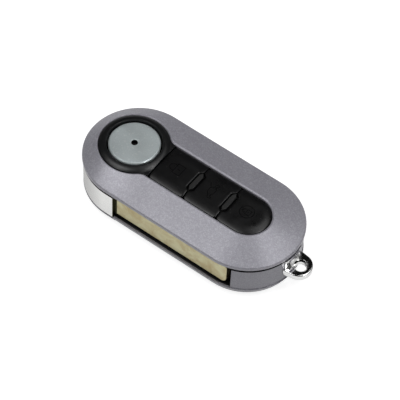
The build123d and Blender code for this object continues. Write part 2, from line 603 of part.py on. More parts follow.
def make_blade_pin():
    """Steel pin through the head and the blade's tang."""
    start = -(BAND_RADIUS - PIN_COVER) + FIT_CLEARANCE
    return across(PIN_RADIUS, start, start + PIN_LENGTH, PIN_X, BLADE_MID_Z)


def make_release_button():
    """Round metal button: crowned and chamfered disc with a dimple, hollow plug and key lugs."""
    disc_low = RELEASE_TOP_Z - RELEASE_DISC
    disc = rod(RELEASE_RADIUS, disc_low, RELEASE_TOP_Z)
    disc = chamfer(edges_at(disc, RELEASE_TOP_Z), RELEASE_CHAMFER)
    ball_radius = (CROWN_EDGE_RADIUS**2 + RELEASE_CROWN**2) / (2 * RELEASE_CROWN)
    ball = Pos(0, 0, RELEASE_TOP_Z + RELEASE_CROWN - ball_radius) * Sphere(ball_radius)
    disc += ball & rod(CROWN_EDGE_RADIUS, disc_low, FAR)
    disc -= rod(DIMPLE_RADIUS, RELEASE_TOP_Z - DIMPLE_DEPTH, FAR)
    plug = rod(PLUG_RADIUS, PLUG_BOTTOM_Z, disc_low)
    lugs = slab(-FAR, FAR, -LUG_WIDTH / 2, LUG_WIDTH / 2, PLUG_BOTTOM_Z, LUG_TOP_Z) & rod(LUG_REACH, 0, FAR)
    return disc + plug + lugs - rod(PLUG_RADIUS - PLUG_WALL, 0, disc_low - PLUG_ROOF)


def make_flip_spring():
    """Coil spring in the head's cup, from the web up to the release button's plug."""
    low = HEAD_LOW_Z + HEAD_WEB + SPRING_WIRE
    tall = PLUG_BOTTOM_Z - SPRING_WIRE - low
    path = Pos(0, 0, low) * Helix(tall / SPRING_TURNS, tall, SPRING_RADIUS)
    section = Plane(origin=path @ 0, z_dir=path % 0) * RegularPolygon(SPRING_WIRE, SPRING_WIRE_SIDES)
    return sweep(section, path=path, is_frenet=True)


def make_keypad_membrane():
    """Rubber pad over the switches: a sheet with three domes and a rim down to the board."""
    half, top = PAD_HALF_WIDTH, PAD_LOW_Z + PAD_SHEET
    left, right = LOCK_SWITCH_X - PAD_END_LEFT, UNLOCK_SWITCH_X + PAD_END_RIGHT
    body = slab(left, right, -half, half, BOARD_TOP_Z, top)
    body -= slab(left + PAD_RIM, right - PAD_RIM, PAD_RIM - half, half - PAD_RIM, BOARD_TOP_Z, PAD_LOW_Z)
    for x in (LOCK_SWITCH_X, BOOT_SWITCH_X, UNLOCK_SWITCH_X):
        body += rod(PAD_RADIUS, top, PAD_TOP_Z, x)
    return body


def make_circuit_board():
    """Board shaped to the bay behind the head chamber, with a hole for each screw."""
    body = extrude(stadium(BOARD_RADIUS, BOARD_Z), BOARD_THICKNESS)
    body = body & slab(BOARD_LEFT_X, BOARD_RIGHT_X, SLOT_WALL_INNER_Y + BOARD_EDGE_GAP, FAR, 0, FAR)
    body -= rod(CHAMBER_OUTER_RADIUS + BOARD_EDGE_GAP, 0, FAR)
    for hole in screw_posts(SCREW_RADIUS + KEY_GAP, 0, FAR):
        body -= hole
    return body


def make_tact_switch(x):
    """Small square switch with a round plunger."""
    top = BOARD_TOP_Z + SWITCH_BODY_HEIGHT
    half = SWITCH_WIDTH / 2
    body = slab(x - SWITCH_LENGTH / 2, x + SWITCH_LENGTH / 2, -half, half, BOARD_TOP_Z, top)
    return body + rod(SWITCH_PLUNGER_RADIUS, top, top + SWITCH_PLUNGER, x)


def make_board_part(size, x):
    """Chip or can that sits on the board between the membrane and the far edge."""
    return Pos(x, CHIP_Y, BOARD_TOP_Z + size[2] / 2) * Box(*size)


def make_transponder_chip():
    """Immobiliser chip standing on the frame floor between chamber and battery."""
    middle_z = FRAME_TOP_Z + TRANSPONDER_HEIGHT / 2
    block = Box(TRANSPONDER_LENGTH, TRANSPONDER_WIDTH, TRANSPONDER_HEIGHT)
    return Pos(TRANSPONDER_X, BAY_MID_Y, middle_z) * block


def make_coin_cell():
    """Coin cell: can with a chamfered lower edge."""
    cell = rod(CELL_RADIUS, CELL_LOW_Z, CELL_TOP_Z, CELL_X, BAY_MID_Y)
    return chamfer(edges_at(cell, CELL_LOW_Z), CELL_EDGE_CHAMFER)


def make_battery_tray():
    """Black drawer that slides out under the open blade: front, floor and cell wall."""
    outer = TRAY_OUTER_RADIUS
    body = rod(outer, TRAY_LOW_Z, CELL_LOW_Z + TRAY_WALL_HEIGHT, CELL_X, BAY_MID_Y)
    body += slab(CELL_X - outer, CELL_X + outer, SLOT_WALL_INNER_Y, BAY_MID_Y, TRAY_LOW_Z, CELL_LOW_Z)
    body = body & slab(-FAR, FAR, -FAR, BAY_MID_Y + TRAY_WALL_END, 0, FAR)
    body -= rod(TRAY_RECESS_RADIUS, CELL_LOW_Z, FAR, CELL_X, BAY_MID_Y)
    front_high = TRAY_LOW_Z + TRAY_FRONT_HEIGHT
    body += slab(
        TRAY_FRONT_LEFT_X, TRAY_FRONT_RIGHT_X, SLOT_WALL_OUTER_Y, SLOT_WALL_INNER_Y, TRAY_LOW_Z, front_high
    )
    z = TRAY_LOW_Z + LATCH_LIFT
    shoulder = SLOT_WALL_OUTER_Y + LATCH_HEAD_HEIGHT
    body -= across(LATCH_HEAD_RADIUS + KEY_GAP, SLOT_WALL_OUTER_Y, shoulder, LATCH_X, z)
    return body - across(LATCH_SHANK_RADIUS + KEY_GAP, shoulder, SLOT_WALL_INNER_Y, LATCH_X, z)


def make_tray_latch():
    """Turning latch of the battery tray: slotted head, shank and a lug behind the wall."""
    z = TRAY_LOW_Z + LATCH_LIFT
    lug_y = SLOT_WALL_INNER_Y + STEM_GAP
    shoulder = SLOT_WALL_OUTER_Y + LATCH_HEAD_HEIGHT
    body = across(LATCH_HEAD_RADIUS, SLOT_WALL_OUTER_Y, shoulder, LATCH_X, z)
    body += across(LATCH_SHANK_RADIUS, shoulder, lug_y + LATCH_LUG_DEPTH, LATCH_X, z)
    half = LATCH_LUG_HEIGHT / 2
    body += slab(LATCH_X, LATCH_X + LATCH_LUG_REACH, lug_y, lug_y + LATCH_LUG_DEPTH, z - half, z + half)
    groove, face_y = LATCH_GROOVE / 2, SLOT_WALL_OUTER_Y
    return body - slab(
        LATCH_X - FAR, LATCH_X + FAR, face_y, face_y + LATCH_GROOVE, z - groove, z + groove
    )


def make_battery_contact_top():
    """Leaf under the board that bends down to the top of the cell."""
    foot, bend = CELL_X + CONTACT_FOOT / 4, CELL_X + CONTACT_FOOT / 4 - CONTACT_ARM
    t, low, high = CONTACT_THICKNESS, CELL_TOP_Z, BOARD_Z
    side = Polygon(
        (foot + CONTACT_FOOT, high),
        (foot, high),
        (bend, low + t),
        (bend - CONTACT_TIP, low + t),
        (bend - CONTACT_TIP, low),
        (bend, low),
        (foot, high - t),
        (foot + CONTACT_FOOT, high - t),
        align=None,
    )
    return Pos(0, BAY_MID_Y, 0) * extrude(Plane.XZ * side, CONTACT_WIDTH / 2, both=True)


def make_battery_contact_side():
    """Bent strip from the board down the side of the cell."""
    half, y = SIDE_CONTACT_WIDTH / 2, BAY_MID_Y + CELL_RADIUS + STEM_GAP
    low = CELL_LOW_Z + SIDE_CONTACT_LOW
    body = slab(CELL_X - half, CELL_X + half, y, y + CONTACT_THICKNESS, low, BOARD_Z)
    foot_low = BOARD_Z - CONTACT_THICKNESS
    return body + slab(CELL_X - half, CELL_X + half, y, y + SIDE_CONTACT_FOOT, foot_low, BOARD_Z)


def make_case_screws():
    """Screws driven up from the back, each with a cross recess in its head."""
    screws = []
    for x, y in SCREW_PLACES:
        screw = rod(SCREW_HEAD_RADIUS, SCREW_HEAD_LOW_Z, SCREW_SHANK_Z, x, y)
        screw += rod(SCREW_RADIUS, SCREW_SHANK_Z, SCREW_TOP_Z, x, y)
        reach, half = SCREW_RADIUS, SCREW_CROSS / 2
        deep = SCREW_HEAD_LOW_Z + SCREW_CROSS
        screw -= slab(x - reach, x + reach, y - half, y + half, 0, deep)
        screw -= slab(x - half, x + half, y - reach, y + reach, 0, deep)
        screws.append(screw)
    return Compound(children=screws)


NODES = {
    "upper_cover": make_upper_cover(),
    "lower_cover": make_lower_cover(),
    "side_band": make_side_band(),
    "inner_frame": make_inner_frame(),
    "button_bezel": make_button_bezel(),
    "key_ring_loop": make_key_ring_loop(),
    "lock_button": make_push_button(LOCK_LEFT_X, DIVIDER_1_X - BUTTON_SPLIT / 2, LOCK_SWITCH_X),
    "boot_button": make_push_button(
        DIVIDER_1_X + BUTTON_SPLIT / 2, DIVIDER_2_X - BUTTON_SPLIT / 2, BOOT_SWITCH_X
    ),
    "unlock_button": make_push_button(DIVIDER_2_X + BUTTON_SPLIT / 2, FAR, UNLOCK_SWITCH_X),
    "blade": make_blade(),
    "blade_head": make_blade_head(),
    "blade_pin": make_blade_pin(),
    "release_button": make_release_button(),
    "flip_spring": make_flip_spring(),
    "keypad_membrane": make_keypad_membrane(),
    "circuit_board": make_circuit_board(),
    "lock_switch": make_tact_switch(LOCK_SWITCH_X),
    "boot_switch": make_tact_switch(BOOT_SWITCH_X),
    "unlock_switch": make_tact_switch(UNLOCK_SWITCH_X),
    "remote_chip": make_board_part(CHIP_SIZE, CHIP_X),
    "crystal": make_board_part(CRYSTAL_SIZE, CRYSTAL_X),
    "transponder_chip": make_transponder_chip(),
    "coin_cell": make_coin_cell(),
    "battery_tray": make_battery_tray(),
    "tray_latch": make_tray_latch(),
    "battery_contact_top": make_battery_contact_top(),
    "battery_contact_side": make_battery_contact_side(),
    "case_screws": make_case_screws(),
}

for name, solid in NODES.items():
    export_step(solid, f"parts/{name}.step")
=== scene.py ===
"""Looks of a folding remote key: painted case, black keypad, chrome head and loop, brass blank."""

import json
import logging
import math
from dataclasses import dataclass, replace
from enum import Enum
from functools import cached_property

import bmesh
import bpy
import numpy as np
from mathutils import Matrix, Vector


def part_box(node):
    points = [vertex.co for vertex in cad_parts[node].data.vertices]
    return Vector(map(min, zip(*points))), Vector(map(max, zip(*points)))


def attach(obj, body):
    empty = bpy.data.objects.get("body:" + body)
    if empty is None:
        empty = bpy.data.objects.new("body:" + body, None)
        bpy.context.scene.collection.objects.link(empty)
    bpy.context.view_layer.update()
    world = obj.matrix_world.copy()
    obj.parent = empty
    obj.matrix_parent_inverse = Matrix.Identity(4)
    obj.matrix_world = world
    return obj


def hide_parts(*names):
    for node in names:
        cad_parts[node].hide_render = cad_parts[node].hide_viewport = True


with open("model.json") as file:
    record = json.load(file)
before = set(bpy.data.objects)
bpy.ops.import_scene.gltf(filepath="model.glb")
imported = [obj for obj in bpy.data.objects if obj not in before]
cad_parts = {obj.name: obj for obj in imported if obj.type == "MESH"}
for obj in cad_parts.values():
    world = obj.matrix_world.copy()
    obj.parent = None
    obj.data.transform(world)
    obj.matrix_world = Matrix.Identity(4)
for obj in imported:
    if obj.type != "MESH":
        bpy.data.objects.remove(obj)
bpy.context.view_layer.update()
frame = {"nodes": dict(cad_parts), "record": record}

LOG = logging.getLogger("key")
MM = 0.001
MERGE_DISTANCE = 0.002
FAR = 1000.0
# near-black colour of painted shadow: in the gap under the cover and in the release button's dimple
SHADOW = (0.004, 0.004, 0.005)
LONGEST_CUT = 0.48

Array = np.ndarray
Material = bpy.types.Material
NodeTree = bpy.types.NodeTree
Outputs = bpy.types.bpy_prop_collection
Piece = bpy.types.Object
Socket = bpy.types.NodeSocket

Point = tuple[float, float]
Range = tuple[float, float]
Colour = tuple[float, float, float]
Triple = tuple[float, float, float]


class Body(Enum):
    """Bodies of the key that a new piece can ride on."""

    CASE = "case"
    RELEASE = "release_button"
    LOCK = "lock_button"
    BOOT = "boot_button"
    UNLOCK = "unlock_button"


class Symbol(Enum):
    """Plain symbols on the push buttons."""

    CLOSED_PADLOCK = "closed padlock"
    BOOT_LID = "boot lid"
    OPEN_PADLOCK = "open padlock"


def node_box(node: str) -> tuple[Array, Array]:
    """Lowest and highest corner of a CAD node, in millimetres."""
    low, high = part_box(node)
    return np.array(low) / MM, np.array(high) / MM


@dataclass(frozen=True)
class CaseSizes:
    """Sizes that the shells, the keypad and the buttons share, in millimetres."""

    case_radius: float
    pivot_x: float
    loop_x: float
    band_radius: float
    cover_low: float
    rim_height: float = 1.1
    crown_height: float = 3.0
    eye_radius: float = 10.45
    slot_half: float = 6.85
    neck_fillet: float = 3.5
    seam_height: float = 1.1
    seam_depth: float = 0.8

    @classmethod
    def from_frame(cls) -> "CaseSizes":
        """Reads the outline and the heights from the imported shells.

        Returns:
            The sizes.
        """
        low, high = node_box("upper_cover")
        radius = (high[1] - low[1]) / 2
        band_high = node_box("side_band")[1]
        return cls(
            case_radius=radius,
            pivot_x=low[0] + radius,
            loop_x=high[0] - radius,
            band_radius=band_high[1],
            cover_low=band_high[2],
        )

    @property
    def rim_z(self) -> float:
        """Height where the low rim of the cover turns into its slope."""
        return self.cover_low + self.rim_height

    @property
    def seam_z(self) -> float:
        """Height where the shadow gap under the cover begins."""
        return self.cover_low - self.seam_height

    @property
    def opening_z(self) -> float:
        """Height of the keyhole opening's edge."""
        return self.rim_z + self.crown_height

    @property
    def neck(self) -> Point:
        """Centre of the fillet between the round eye and the straight slot."""
        y = self.slot_half + self.neck_fillet
        return math.sqrt((self.eye_radius + self.neck_fillet) ** 2 - y**2), y

    @property
    def joint_x(self) -> float:
        """Point of the straight side that matches the joint of eye and fillet.

        It divides the run from the pivot end to the fillet's centre as the two radii are to each
        other, so the slope has no crease there.
        """
        share = self.eye_radius / (self.eye_radius + self.neck_fillet)
        return self.pivot_x + share * (self.neck[0] - self.pivot_x)


@dataclass(frozen=True)
class Spans:
    """Numbers of steps along the eight edges that the case and the keyhole share."""

    back: int = 54
    front: int = 14
    neck: int = 8
    side: int = 26
    end: int = 48


def arc(centre: Point, radius: float, start: float, end: float, count: int, whole: bool = False) -> Array:
    """Points of a circular arc: the centre plus the radius turned through evenly spaced angles.

    Args:
        centre: Centre of the arc.
        radius: Radius.
        start: First angle in radians.
        end: Last angle in radians.
        count: Number of points.
        whole: Whether the last angle has a point too.

    Returns:
        Rows of x and y.
    """
    angle = np.linspace(start, end, count, endpoint=whole)
    return np.stack([centre[0] + radius * np.cos(angle), centre[1] + radius * np.sin(angle)], -1)


def circle(radius: float, centre: Point = (0.0, 0.0), count: int = 96) -> Array:
    """Closed circle of evenly spaced points."""
    return arc(centre, radius, 0, 2 * math.pi, count)


def line(start: Point, end: Point, count: int) -> Array:
    """Points of a straight run, evenly spaced, with the last one left out."""
    share = np.linspace(0, 1, count, endpoint=False)[:, None]
    return np.array(start) + share * (np.array(end) - np.array(start))


def lift(outline: Array, z: float | Array) -> Array:
    """Rows of x, y and z of a flat outline at one height, or at one height for each point."""
    return np.column_stack([outline, np.broadcast_to(z, len(outline))])


@dataclass(frozen=True)
class Outlines:
    """Closed outlines of the key, all with the same number of points so that they join up."""

    sizes: CaseSizes
    spans: Spans = Spans()

    def case(self, radius: float) -> Array:
        """Case outline: two half circles and two straight sides, in the keyhole's eight edges.

        Args:
            radius: Radius of the round ends.

        Returns:
            Points in order, from the far side of the pivot end round the near side.
        """
        sizes, steps = self.sizes, self.spans
        pivot_x, joint_x, neck_x, loop_x = sizes.pivot_x, sizes.joint_x, sizes.neck[0], sizes.loop_x
        return np.concatenate([
            arc((pivot_x, 0), radius, math.pi / 2, 3 * math.pi / 2, steps.back),
            line((pivot_x, -radius), (joint_x, -radius), steps.front),
            line((joint_x, -radius), (neck_x, -radius), steps.neck),
            line((neck_x, -radius), (loop_x, -radius), steps.side),
            arc((loop_x, 0), radius, -math.pi / 2, math.pi / 2, steps.end),
            line((loop_x, radius), (neck_x, radius), steps.side),
            line((neck_x, radius), (joint_x, radius), steps.neck),
            line((joint_x, radius), (pivot_x, radius), steps.front),
        ])

    def keyhole(self, offset: float = 0.0) -> Array:
        """Keyhole outline grown by an offset: eye, neck fillets, sides and a round end.

        Args:
            offset: Distance to grow by, negative to shrink.

        Returns:
            Points in the order of the case outline.
        """
        sizes, steps = self.sizes, self.spans
        neck_x, neck_y = sizes.neck
        meet, loop_x = math.atan2(neck_y, neck_x), sizes.loop_x
        eye, half, fillet = sizes.eye_radius + offset, sizes.slot_half + offset, sizes.neck_fillet - offset
        return np.concatenate([
            arc((0, 0), eye, math.pi / 2, 3 * math.pi / 2, steps.back),
            arc((0, 0), eye, 3 * math.pi / 2, 2 * math.pi - meet, steps.front),
            arc((neck_x, -neck_y), fillet, math.pi - meet, math.pi / 2, steps.neck),
            line((neck_x, -half), (loop_x, -half), steps.side),
            arc((loop_x, 0), half, -math.pi / 2, math.pi / 2, steps.end),
            line((loop_x, half), (neck_x, half), steps.side),
            arc((neck_x, neck_y), fillet, -math.pi / 2, meet - math.pi, steps.neck),
            arc((0, 0), eye, meet, math.pi / 2, steps.front),
        ])


def rounded_section(corners: Array, radii: list[float | Array], steps: int) -> Array:
    """Rounds each corner of a closed section that is carried round an outline.

    At every place along the outline, a corner is cut back by the radius over the tangent of half its
    angle on both sides, and a quadratic curve with the corner as its middle point joins the two cuts.
    The weight of the middle point is the sine of half the angle, which makes the curve a circular arc.
    A cut takes no more than about half of a side.

    Args:
        corners: Array of corners, places along the outline, and three coordinates.
        radii: Radius at each corner, zero for a sharp one, or one for each place along the outline.
        steps: Steps of each arc.

    Returns:
        Array of rings with the same last two axes.
    """
    before, after = np.roll(corners, 1, 0) - corners, np.roll(corners, -1, 0) - corners
    length_before = np.linalg.norm(before, axis=-1, keepdims=True)
    length_after = np.linalg.norm(after, axis=-1, keepdims=True)
    before, after = before / length_before, after / length_after
    half = np.arccos(np.clip((before * after).sum(-1, keepdims=True), -1, 1)) / 2
    rings = []
    for index, radius in enumerate(radii):
        if np.all(radius == 0):
            rings.append(corners[index])
            continue
        cut = np.reshape(radius, (-1, 1)) / np.tan(half[index])
        cut = np.minimum(cut, LONGEST_CUT * np.minimum(length_before[index], length_after[index]))
        start, end = corners[index] + cut * before[index], corners[index] + cut * after[index]
        weight = np.sin(half[index])
        for share in np.linspace(0, 1, steps + 1):
            first, middle, last = (1 - share) ** 2, 2 * share * (1 - share) * weight, share**2
            total = first + middle + last
            rings.append((first * start + middle * corners[index] + last * end) / total)
    return np.stack(rings)


def mitres(path: Array, closed: bool = True) -> Array:
    """Mitre of each point of a path, to the lines 1 mm to the left of both its sides.

    It points along the sum of the two side normals, and is twice that sum over its square.

    Args:
        path: Rows of x and y.
        closed: Whether the path ends where it starts.

    Returns:
        Rows of x and y.
    """
    ahead = np.roll(path, -1, 0) - path
    if not closed:
        ahead[-1] = ahead[-2]
    ahead = ahead / np.linalg.norm(ahead, axis=1, keepdims=True)
    behind = np.roll(ahead, 1, 0)
    if not closed:
        behind[0] = ahead[0]
    x, y = (ahead + behind).T
    normals = np.stack([-y, x], -1)
    return normals / (normals * normals).sum(1, keepdims=True) * 2


class Skin:
    """Collects grids and flat caps of points, in millimetres, and makes one closed mesh of them."""

    def __init__(self) -> None:
        """Starts with no points."""
        self.points: list[Array] = []
        self.faces: list[list[int]] = []
        self.count = 0

    def sheet(self, points: Array, faces: list) -> "Skin":
        """Adds points, and faces that number them from zero.

        Args:
            points: Array whose last axis is x, y and z.
            faces: Numbers of the points of each face, all of one length.

        Returns:
            This skin.
        """
        self.faces += (np.array(faces) + self.count).tolist()
        self.points.append(points.reshape(-1, 3))
        self.count += len(self.points[-1])
        return self

    def grid(self, points: Array, close_rows: bool = False, close_columns: bool = False,
             keep: Array | None = None) -> "Skin":
        """Adds a grid of quads.

        Args:
            points: Array of rows, columns and three coordinates.
            close_rows: Whether the last row joins the first.
            close_columns: Whether the last column joins the first.
            keep: Mask of the quads to keep, by row and column.

        Returns:
            This skin.
        """
        rows, columns = points.shape[:2]
        index = np.arange(rows * columns).reshape(rows, columns)
        if close_rows:
            index = np.vstack([index, index[:1]])
        if close_columns:
            index = np.hstack([index, index[:, :1]])
        quads = np.stack([index[:-1, :-1], index[:-1, 1:], index[1:, 1:], index[1:, :-1]], -1)
        return self.sheet(points, quads.reshape(-1, 4) if keep is None else quads[keep])

    def cap(self, ring: Array) -> "Skin":
        """Adds one flat face inside a closed ring of points."""
        return self.sheet(ring, [range(len(ring))])

    def tube(self, rings: Array) -> "Skin":
        """Adds closed rings joined one to the next, with a flat cap at both ends."""
        return self.grid(rings, close_columns=True).cap(rings[0]).cap(rings[-1])

    def hoop(self, rings: Array) -> "Skin":
        """Adds closed rings joined one to the next, the last one to the first."""
        return self.grid(rings, close_rows=True, close_columns=True)

    def clean(self) -> bmesh.types.BMesh:
        """Merges doubles and turns the faces outwards.

        Returns:
            The closed surface in metres.
        """
        mesh = bpy.data.meshes.new("work")
        mesh.from_pydata(np.concatenate(self.points) * MM, [], self.faces)
        work = bmesh.new()
        work.from_mesh(mesh)
        bpy.data.meshes.remove(mesh)
        bmesh.ops.remove_doubles(work, verts=work.verts, dist=MERGE_DISTANCE * MM)
        bmesh.ops.recalc_face_normals(work, faces=work.faces)
        return work


def link(name: str, data: bpy.types.ID) -> Piece:
    """Makes an object of ready data and links it to the scene.

    Args:
        name: Name of the object.
        data: Mesh, curve, light or camera.

    Returns:
        The object.
    """
    item = bpy.data.objects.new(name, data)
    bpy.context.scene.collection.objects.link(item)
    return item


def assemble(name: str, *skins: Skin, sharp_degrees: float = 40.0) -> Piece:
    """Makes one mesh object, in metres and at the origin, of closed surfaces that are one moulding.

    Args:
        name: Name of the object.
        skins: The surfaces.
        sharp_degrees: Angle between faces past which an edge stays sharp.

    Returns:
        The object.
    """
    mesh = bpy.data.meshes.new(name)
    whole = bmesh.new()
    for skin in skins:
        part = skin.clean()
        part.to_mesh(mesh)
        part.free()
        whole.from_mesh(mesh)
    whole.to_mesh(mesh)
    whole.free()
    mesh.polygons.foreach_set("use_smooth", np.ones(len(mesh.polygons), bool))
    mesh.set_sharp_from_angle(angle=math.radians(sharp_degrees))
    return link(name, mesh)


def plate(outline: Array, holes: list[Array], low: float, high: float, slope: float = 0.0) -> Skin:
    """Plate with holes: two filled faces and the walls between them.

    Args:
        outline: Closed outline.
        holes: Closed outlines of the holes.
        low: Height of the lower face.
        high: Height of the upper face, at the outline's largest x.
        slope: How much the upper face rises for each millimetre towards smaller x.

    Returns:
        The closed surface.
    """
    end_x = outline[:, 0].max()
    work = bmesh.new()
    edges = []
    for loop in [outline, *holes]:
        ring = [work.verts.new((x, y, 0)) for x, y in loop]
        edges += [work.edges.new((ring[i - 1], ring[i])) for i in range(len(ring))]
    bmesh.ops.triangle_fill(work, use_beauty=True, edges=edges)
    work.verts.index_update()
    points = np.array([v.co for v in work.verts])
    faces = [[v.index for v in face.verts] for face in work.faces]
    work.free()
    skin = Skin()
    for z, rise in ((low, 0.0), (high, slope)):
        skin.sheet(lift(points[:, :2], z + rise * (end_x - points[:, 0])), faces)
    for loop in [outline, *holes]:
        top = lift(loop, high + slope * (end_x - loop[:, 0]))
        skin.grid(np.stack([lift(loop, low), top]), close_columns=True)
    return skin


@dataclass(frozen=True)
class Edging:
    """Small rounding that a moulded or machined edge has."""

    width: float = 0.12
    segments: int = 3
    angle: float = 35.0

    def round_edges(self, piece: Piece, loose: bool = False) -> None:
        """Adds a bevel and weighted normals to a piece.

        Args:
            piece: The mesh object.
            loose: Whether its triangles are separate and need joining first.
        """
        if loose:
            weld = piece.modifiers.new("join", "WELD")
            weld.merge_threshold = MERGE_DISTANCE * MM
        bevel = piece.modifiers.new("edges", "BEVEL")
        bevel.width = self.width * MM
        bevel.segments = self.segments
        bevel.limit_method = "ANGLE"
        bevel.angle_limit = math.radians(self.angle)
        bevel.use_clamp_overlap = True
        bevel.miter_outer = "MITER_ARC"
        settle_normals(piece)


def settle_normals(piece: Piece) -> None:
    """Lets the large faces of a piece set its normals, so that flat faces shade flat.

    Args:
        piece: The mesh object.
    """
    modifier = piece.modifiers.new("normals", "WEIGHTED_NORMAL")
    modifier.weight = 60
    modifier.keep_sharp = True


def dress(piece: Piece, material: Material) -> None:
    """Gives a piece one material in place of any others."""
    piece.data.materials.clear()
    piece.data.materials.append(material)


def place(piece: Piece, body: Body, slot: str, material: Material, *replaced: str) -> None:
    """Rides a finished piece on its body, dresses it and reports it.

    Args:
        piece: The mesh object.
        body: Body that it moves with.
        slot: Material slot of the record that it belongs to; not used.
        material: Its finish.
        replaced: CAD nodes that it stands for.
    """
    dress(piece, material)
    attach(piece, body.value)
    if replaced:
        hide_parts(*replaced)
    LOG.info("%s: %d points, rides on %s", piece.name, len(piece.data.vertices), body.value)


class Tree:
    """A node tree with short calls to add nodes and to join them."""

    COLOUR_A, COLOUR_B, COLOUR_RESULT = 6, 7, 2
    NOISE_RANGE = (0.3, 0.7)

    def __init__(self, tree: NodeTree) -> None:
        """Empties the tree of a material, a group or the world."""
        self.tree = tree
        tree.nodes.clear()

    def add(self, kind: str, settings: dict | None = None, **inputs: object) -> bpy.types.Node:
        """Adds a node.

        Args:
            kind: Node type without its ShaderNode prefix.
            settings: Properties of the node.
            inputs: Values or output sockets for its inputs, with underscores for spaces.

        Returns:
            The node.
        """
        node = self.tree.nodes.new("ShaderNode" + kind)
        for key, value in (settings or {}).items():
            setattr(node, key, value)
        for key, value in inputs.items():
            self.feed(node.inputs[key.replace("_", " ")], value)
        return node

    def feed(self, socket: Socket, value: object) -> None:
        """Joins an output socket to an input, or sets the input's own value.

        Args:
            socket: The input.
            value: Output socket or value.
        """
        if isinstance(value, Socket):
            self.tree.links.new(value, socket)
        else:
            socket.default_value = value

    def _operate(self, kind: str, operation: str, *values: object) -> Outputs:
        """Adds a node that works on values by a named operation, and returns its outputs.

        Args:
            kind: Node type.
            operation: What it does.
            values: Values or sockets for its inputs, in order.

        Returns:
            Its outputs.
        """
        node = self.add(kind, {"operation": operation})
        for socket, value in zip(node.inputs, values):
            self.feed(socket, value)
        return node.outputs

    def math(self, operation: str, *values: object) -> Socket:
        """Adds a Math node and returns its value."""
        return self._operate("Math", operation, *values)[0]

    def vector_math(self, operation: str, *values: object) -> Outputs:
        """Adds a Vector Math node and returns its outputs."""
        return self._operate("VectorMath", operation, *values)

    def mix(self, share: object, first: object, second: object) -> Socket:
        """Adds a colour Mix node and returns its colour.

        Args:
            share: Share of the second colour.
            first: First colour.
            second: Second colour.

        Returns:
            The mixed colour.
        """
        node = self.add("Mix", {"data_type": "RGBA"})
        self.feed(node.inputs[0], share)
        self.feed(node.inputs[self.COLOUR_A], first)
        self.feed(node.inputs[self.COLOUR_B], second)
        return node.outputs[self.COLOUR_RESULT]

    def remap(self, value: object, low: float, high: float, to_low: float = 0.0, to_high: float = 1.0
              ) -> Socket:
        """Adds a clamped Map Range node and returns its result."""
        limits = {"From_Min": low, "From_Max": high, "To_Min": to_low, "To_Max": to_high}
        return self.add("MapRange", Value=value, **limits).outputs["Result"]

    def spread(self, noise: object, to_low: float = 0.0, to_high: float = 1.0) -> Socket:
        """Stretches the range that most of a noise lies in to another range."""
        return self.remap(noise, *self.NOISE_RANGE, to_low, to_high)

    def group(self, group: NodeTree, **inputs: float) -> Outputs:
        """Adds a node group, with values for its inputs, and returns its outputs."""
        return self.add("Group", {"node_tree": group}, **inputs).outputs

    def where(self) -> Socket:
        """Adds the place on the piece, in metres."""
        return self.add("TexCoord").outputs["Object"]

    def per_metre(self, size: object) -> Socket:
        """Texture scale that gives a cell a size in millimetres."""
        return self.math("DIVIDE", 1 / MM, size)


class Group(Tree):
    """A shader node group with numbers for its inputs and outputs."""

    def __init__(self, name: str, **inputs: float) -> None:
        """Starts the group.

        Args:
            name: Name of the group.
            inputs: Default values of its inputs, with underscores for spaces.
        """
        super().__init__(bpy.data.node_groups.new(name, "ShaderNodeTree"))
        for key, value in inputs.items():
            self._socket(key.replace("_", " "), "INPUT").default_value = value
        self.given = self.tree.nodes.new("NodeGroupInput").outputs

    def _socket(self, name: str, side: str) -> bpy.types.NodeTreeInterfaceSocket:
        """Adds a number socket to the group's inputs or outputs."""
        return self.tree.interface.new_socket(name, in_out=side, socket_type="NodeSocketFloat")

    def give(self, **outputs: Socket) -> NodeTree:
        """Joins the group's outputs.

        Args:
            outputs: Sockets by the names of the outputs.

        Returns:
            The group's tree.
        """
        for name in outputs:
            self._socket(name, "OUTPUT")
        result = self.tree.nodes.new("NodeGroupOutput")
        for name, socket in outputs.items():
            self.feed(result.inputs[name], socket)
        return self.tree


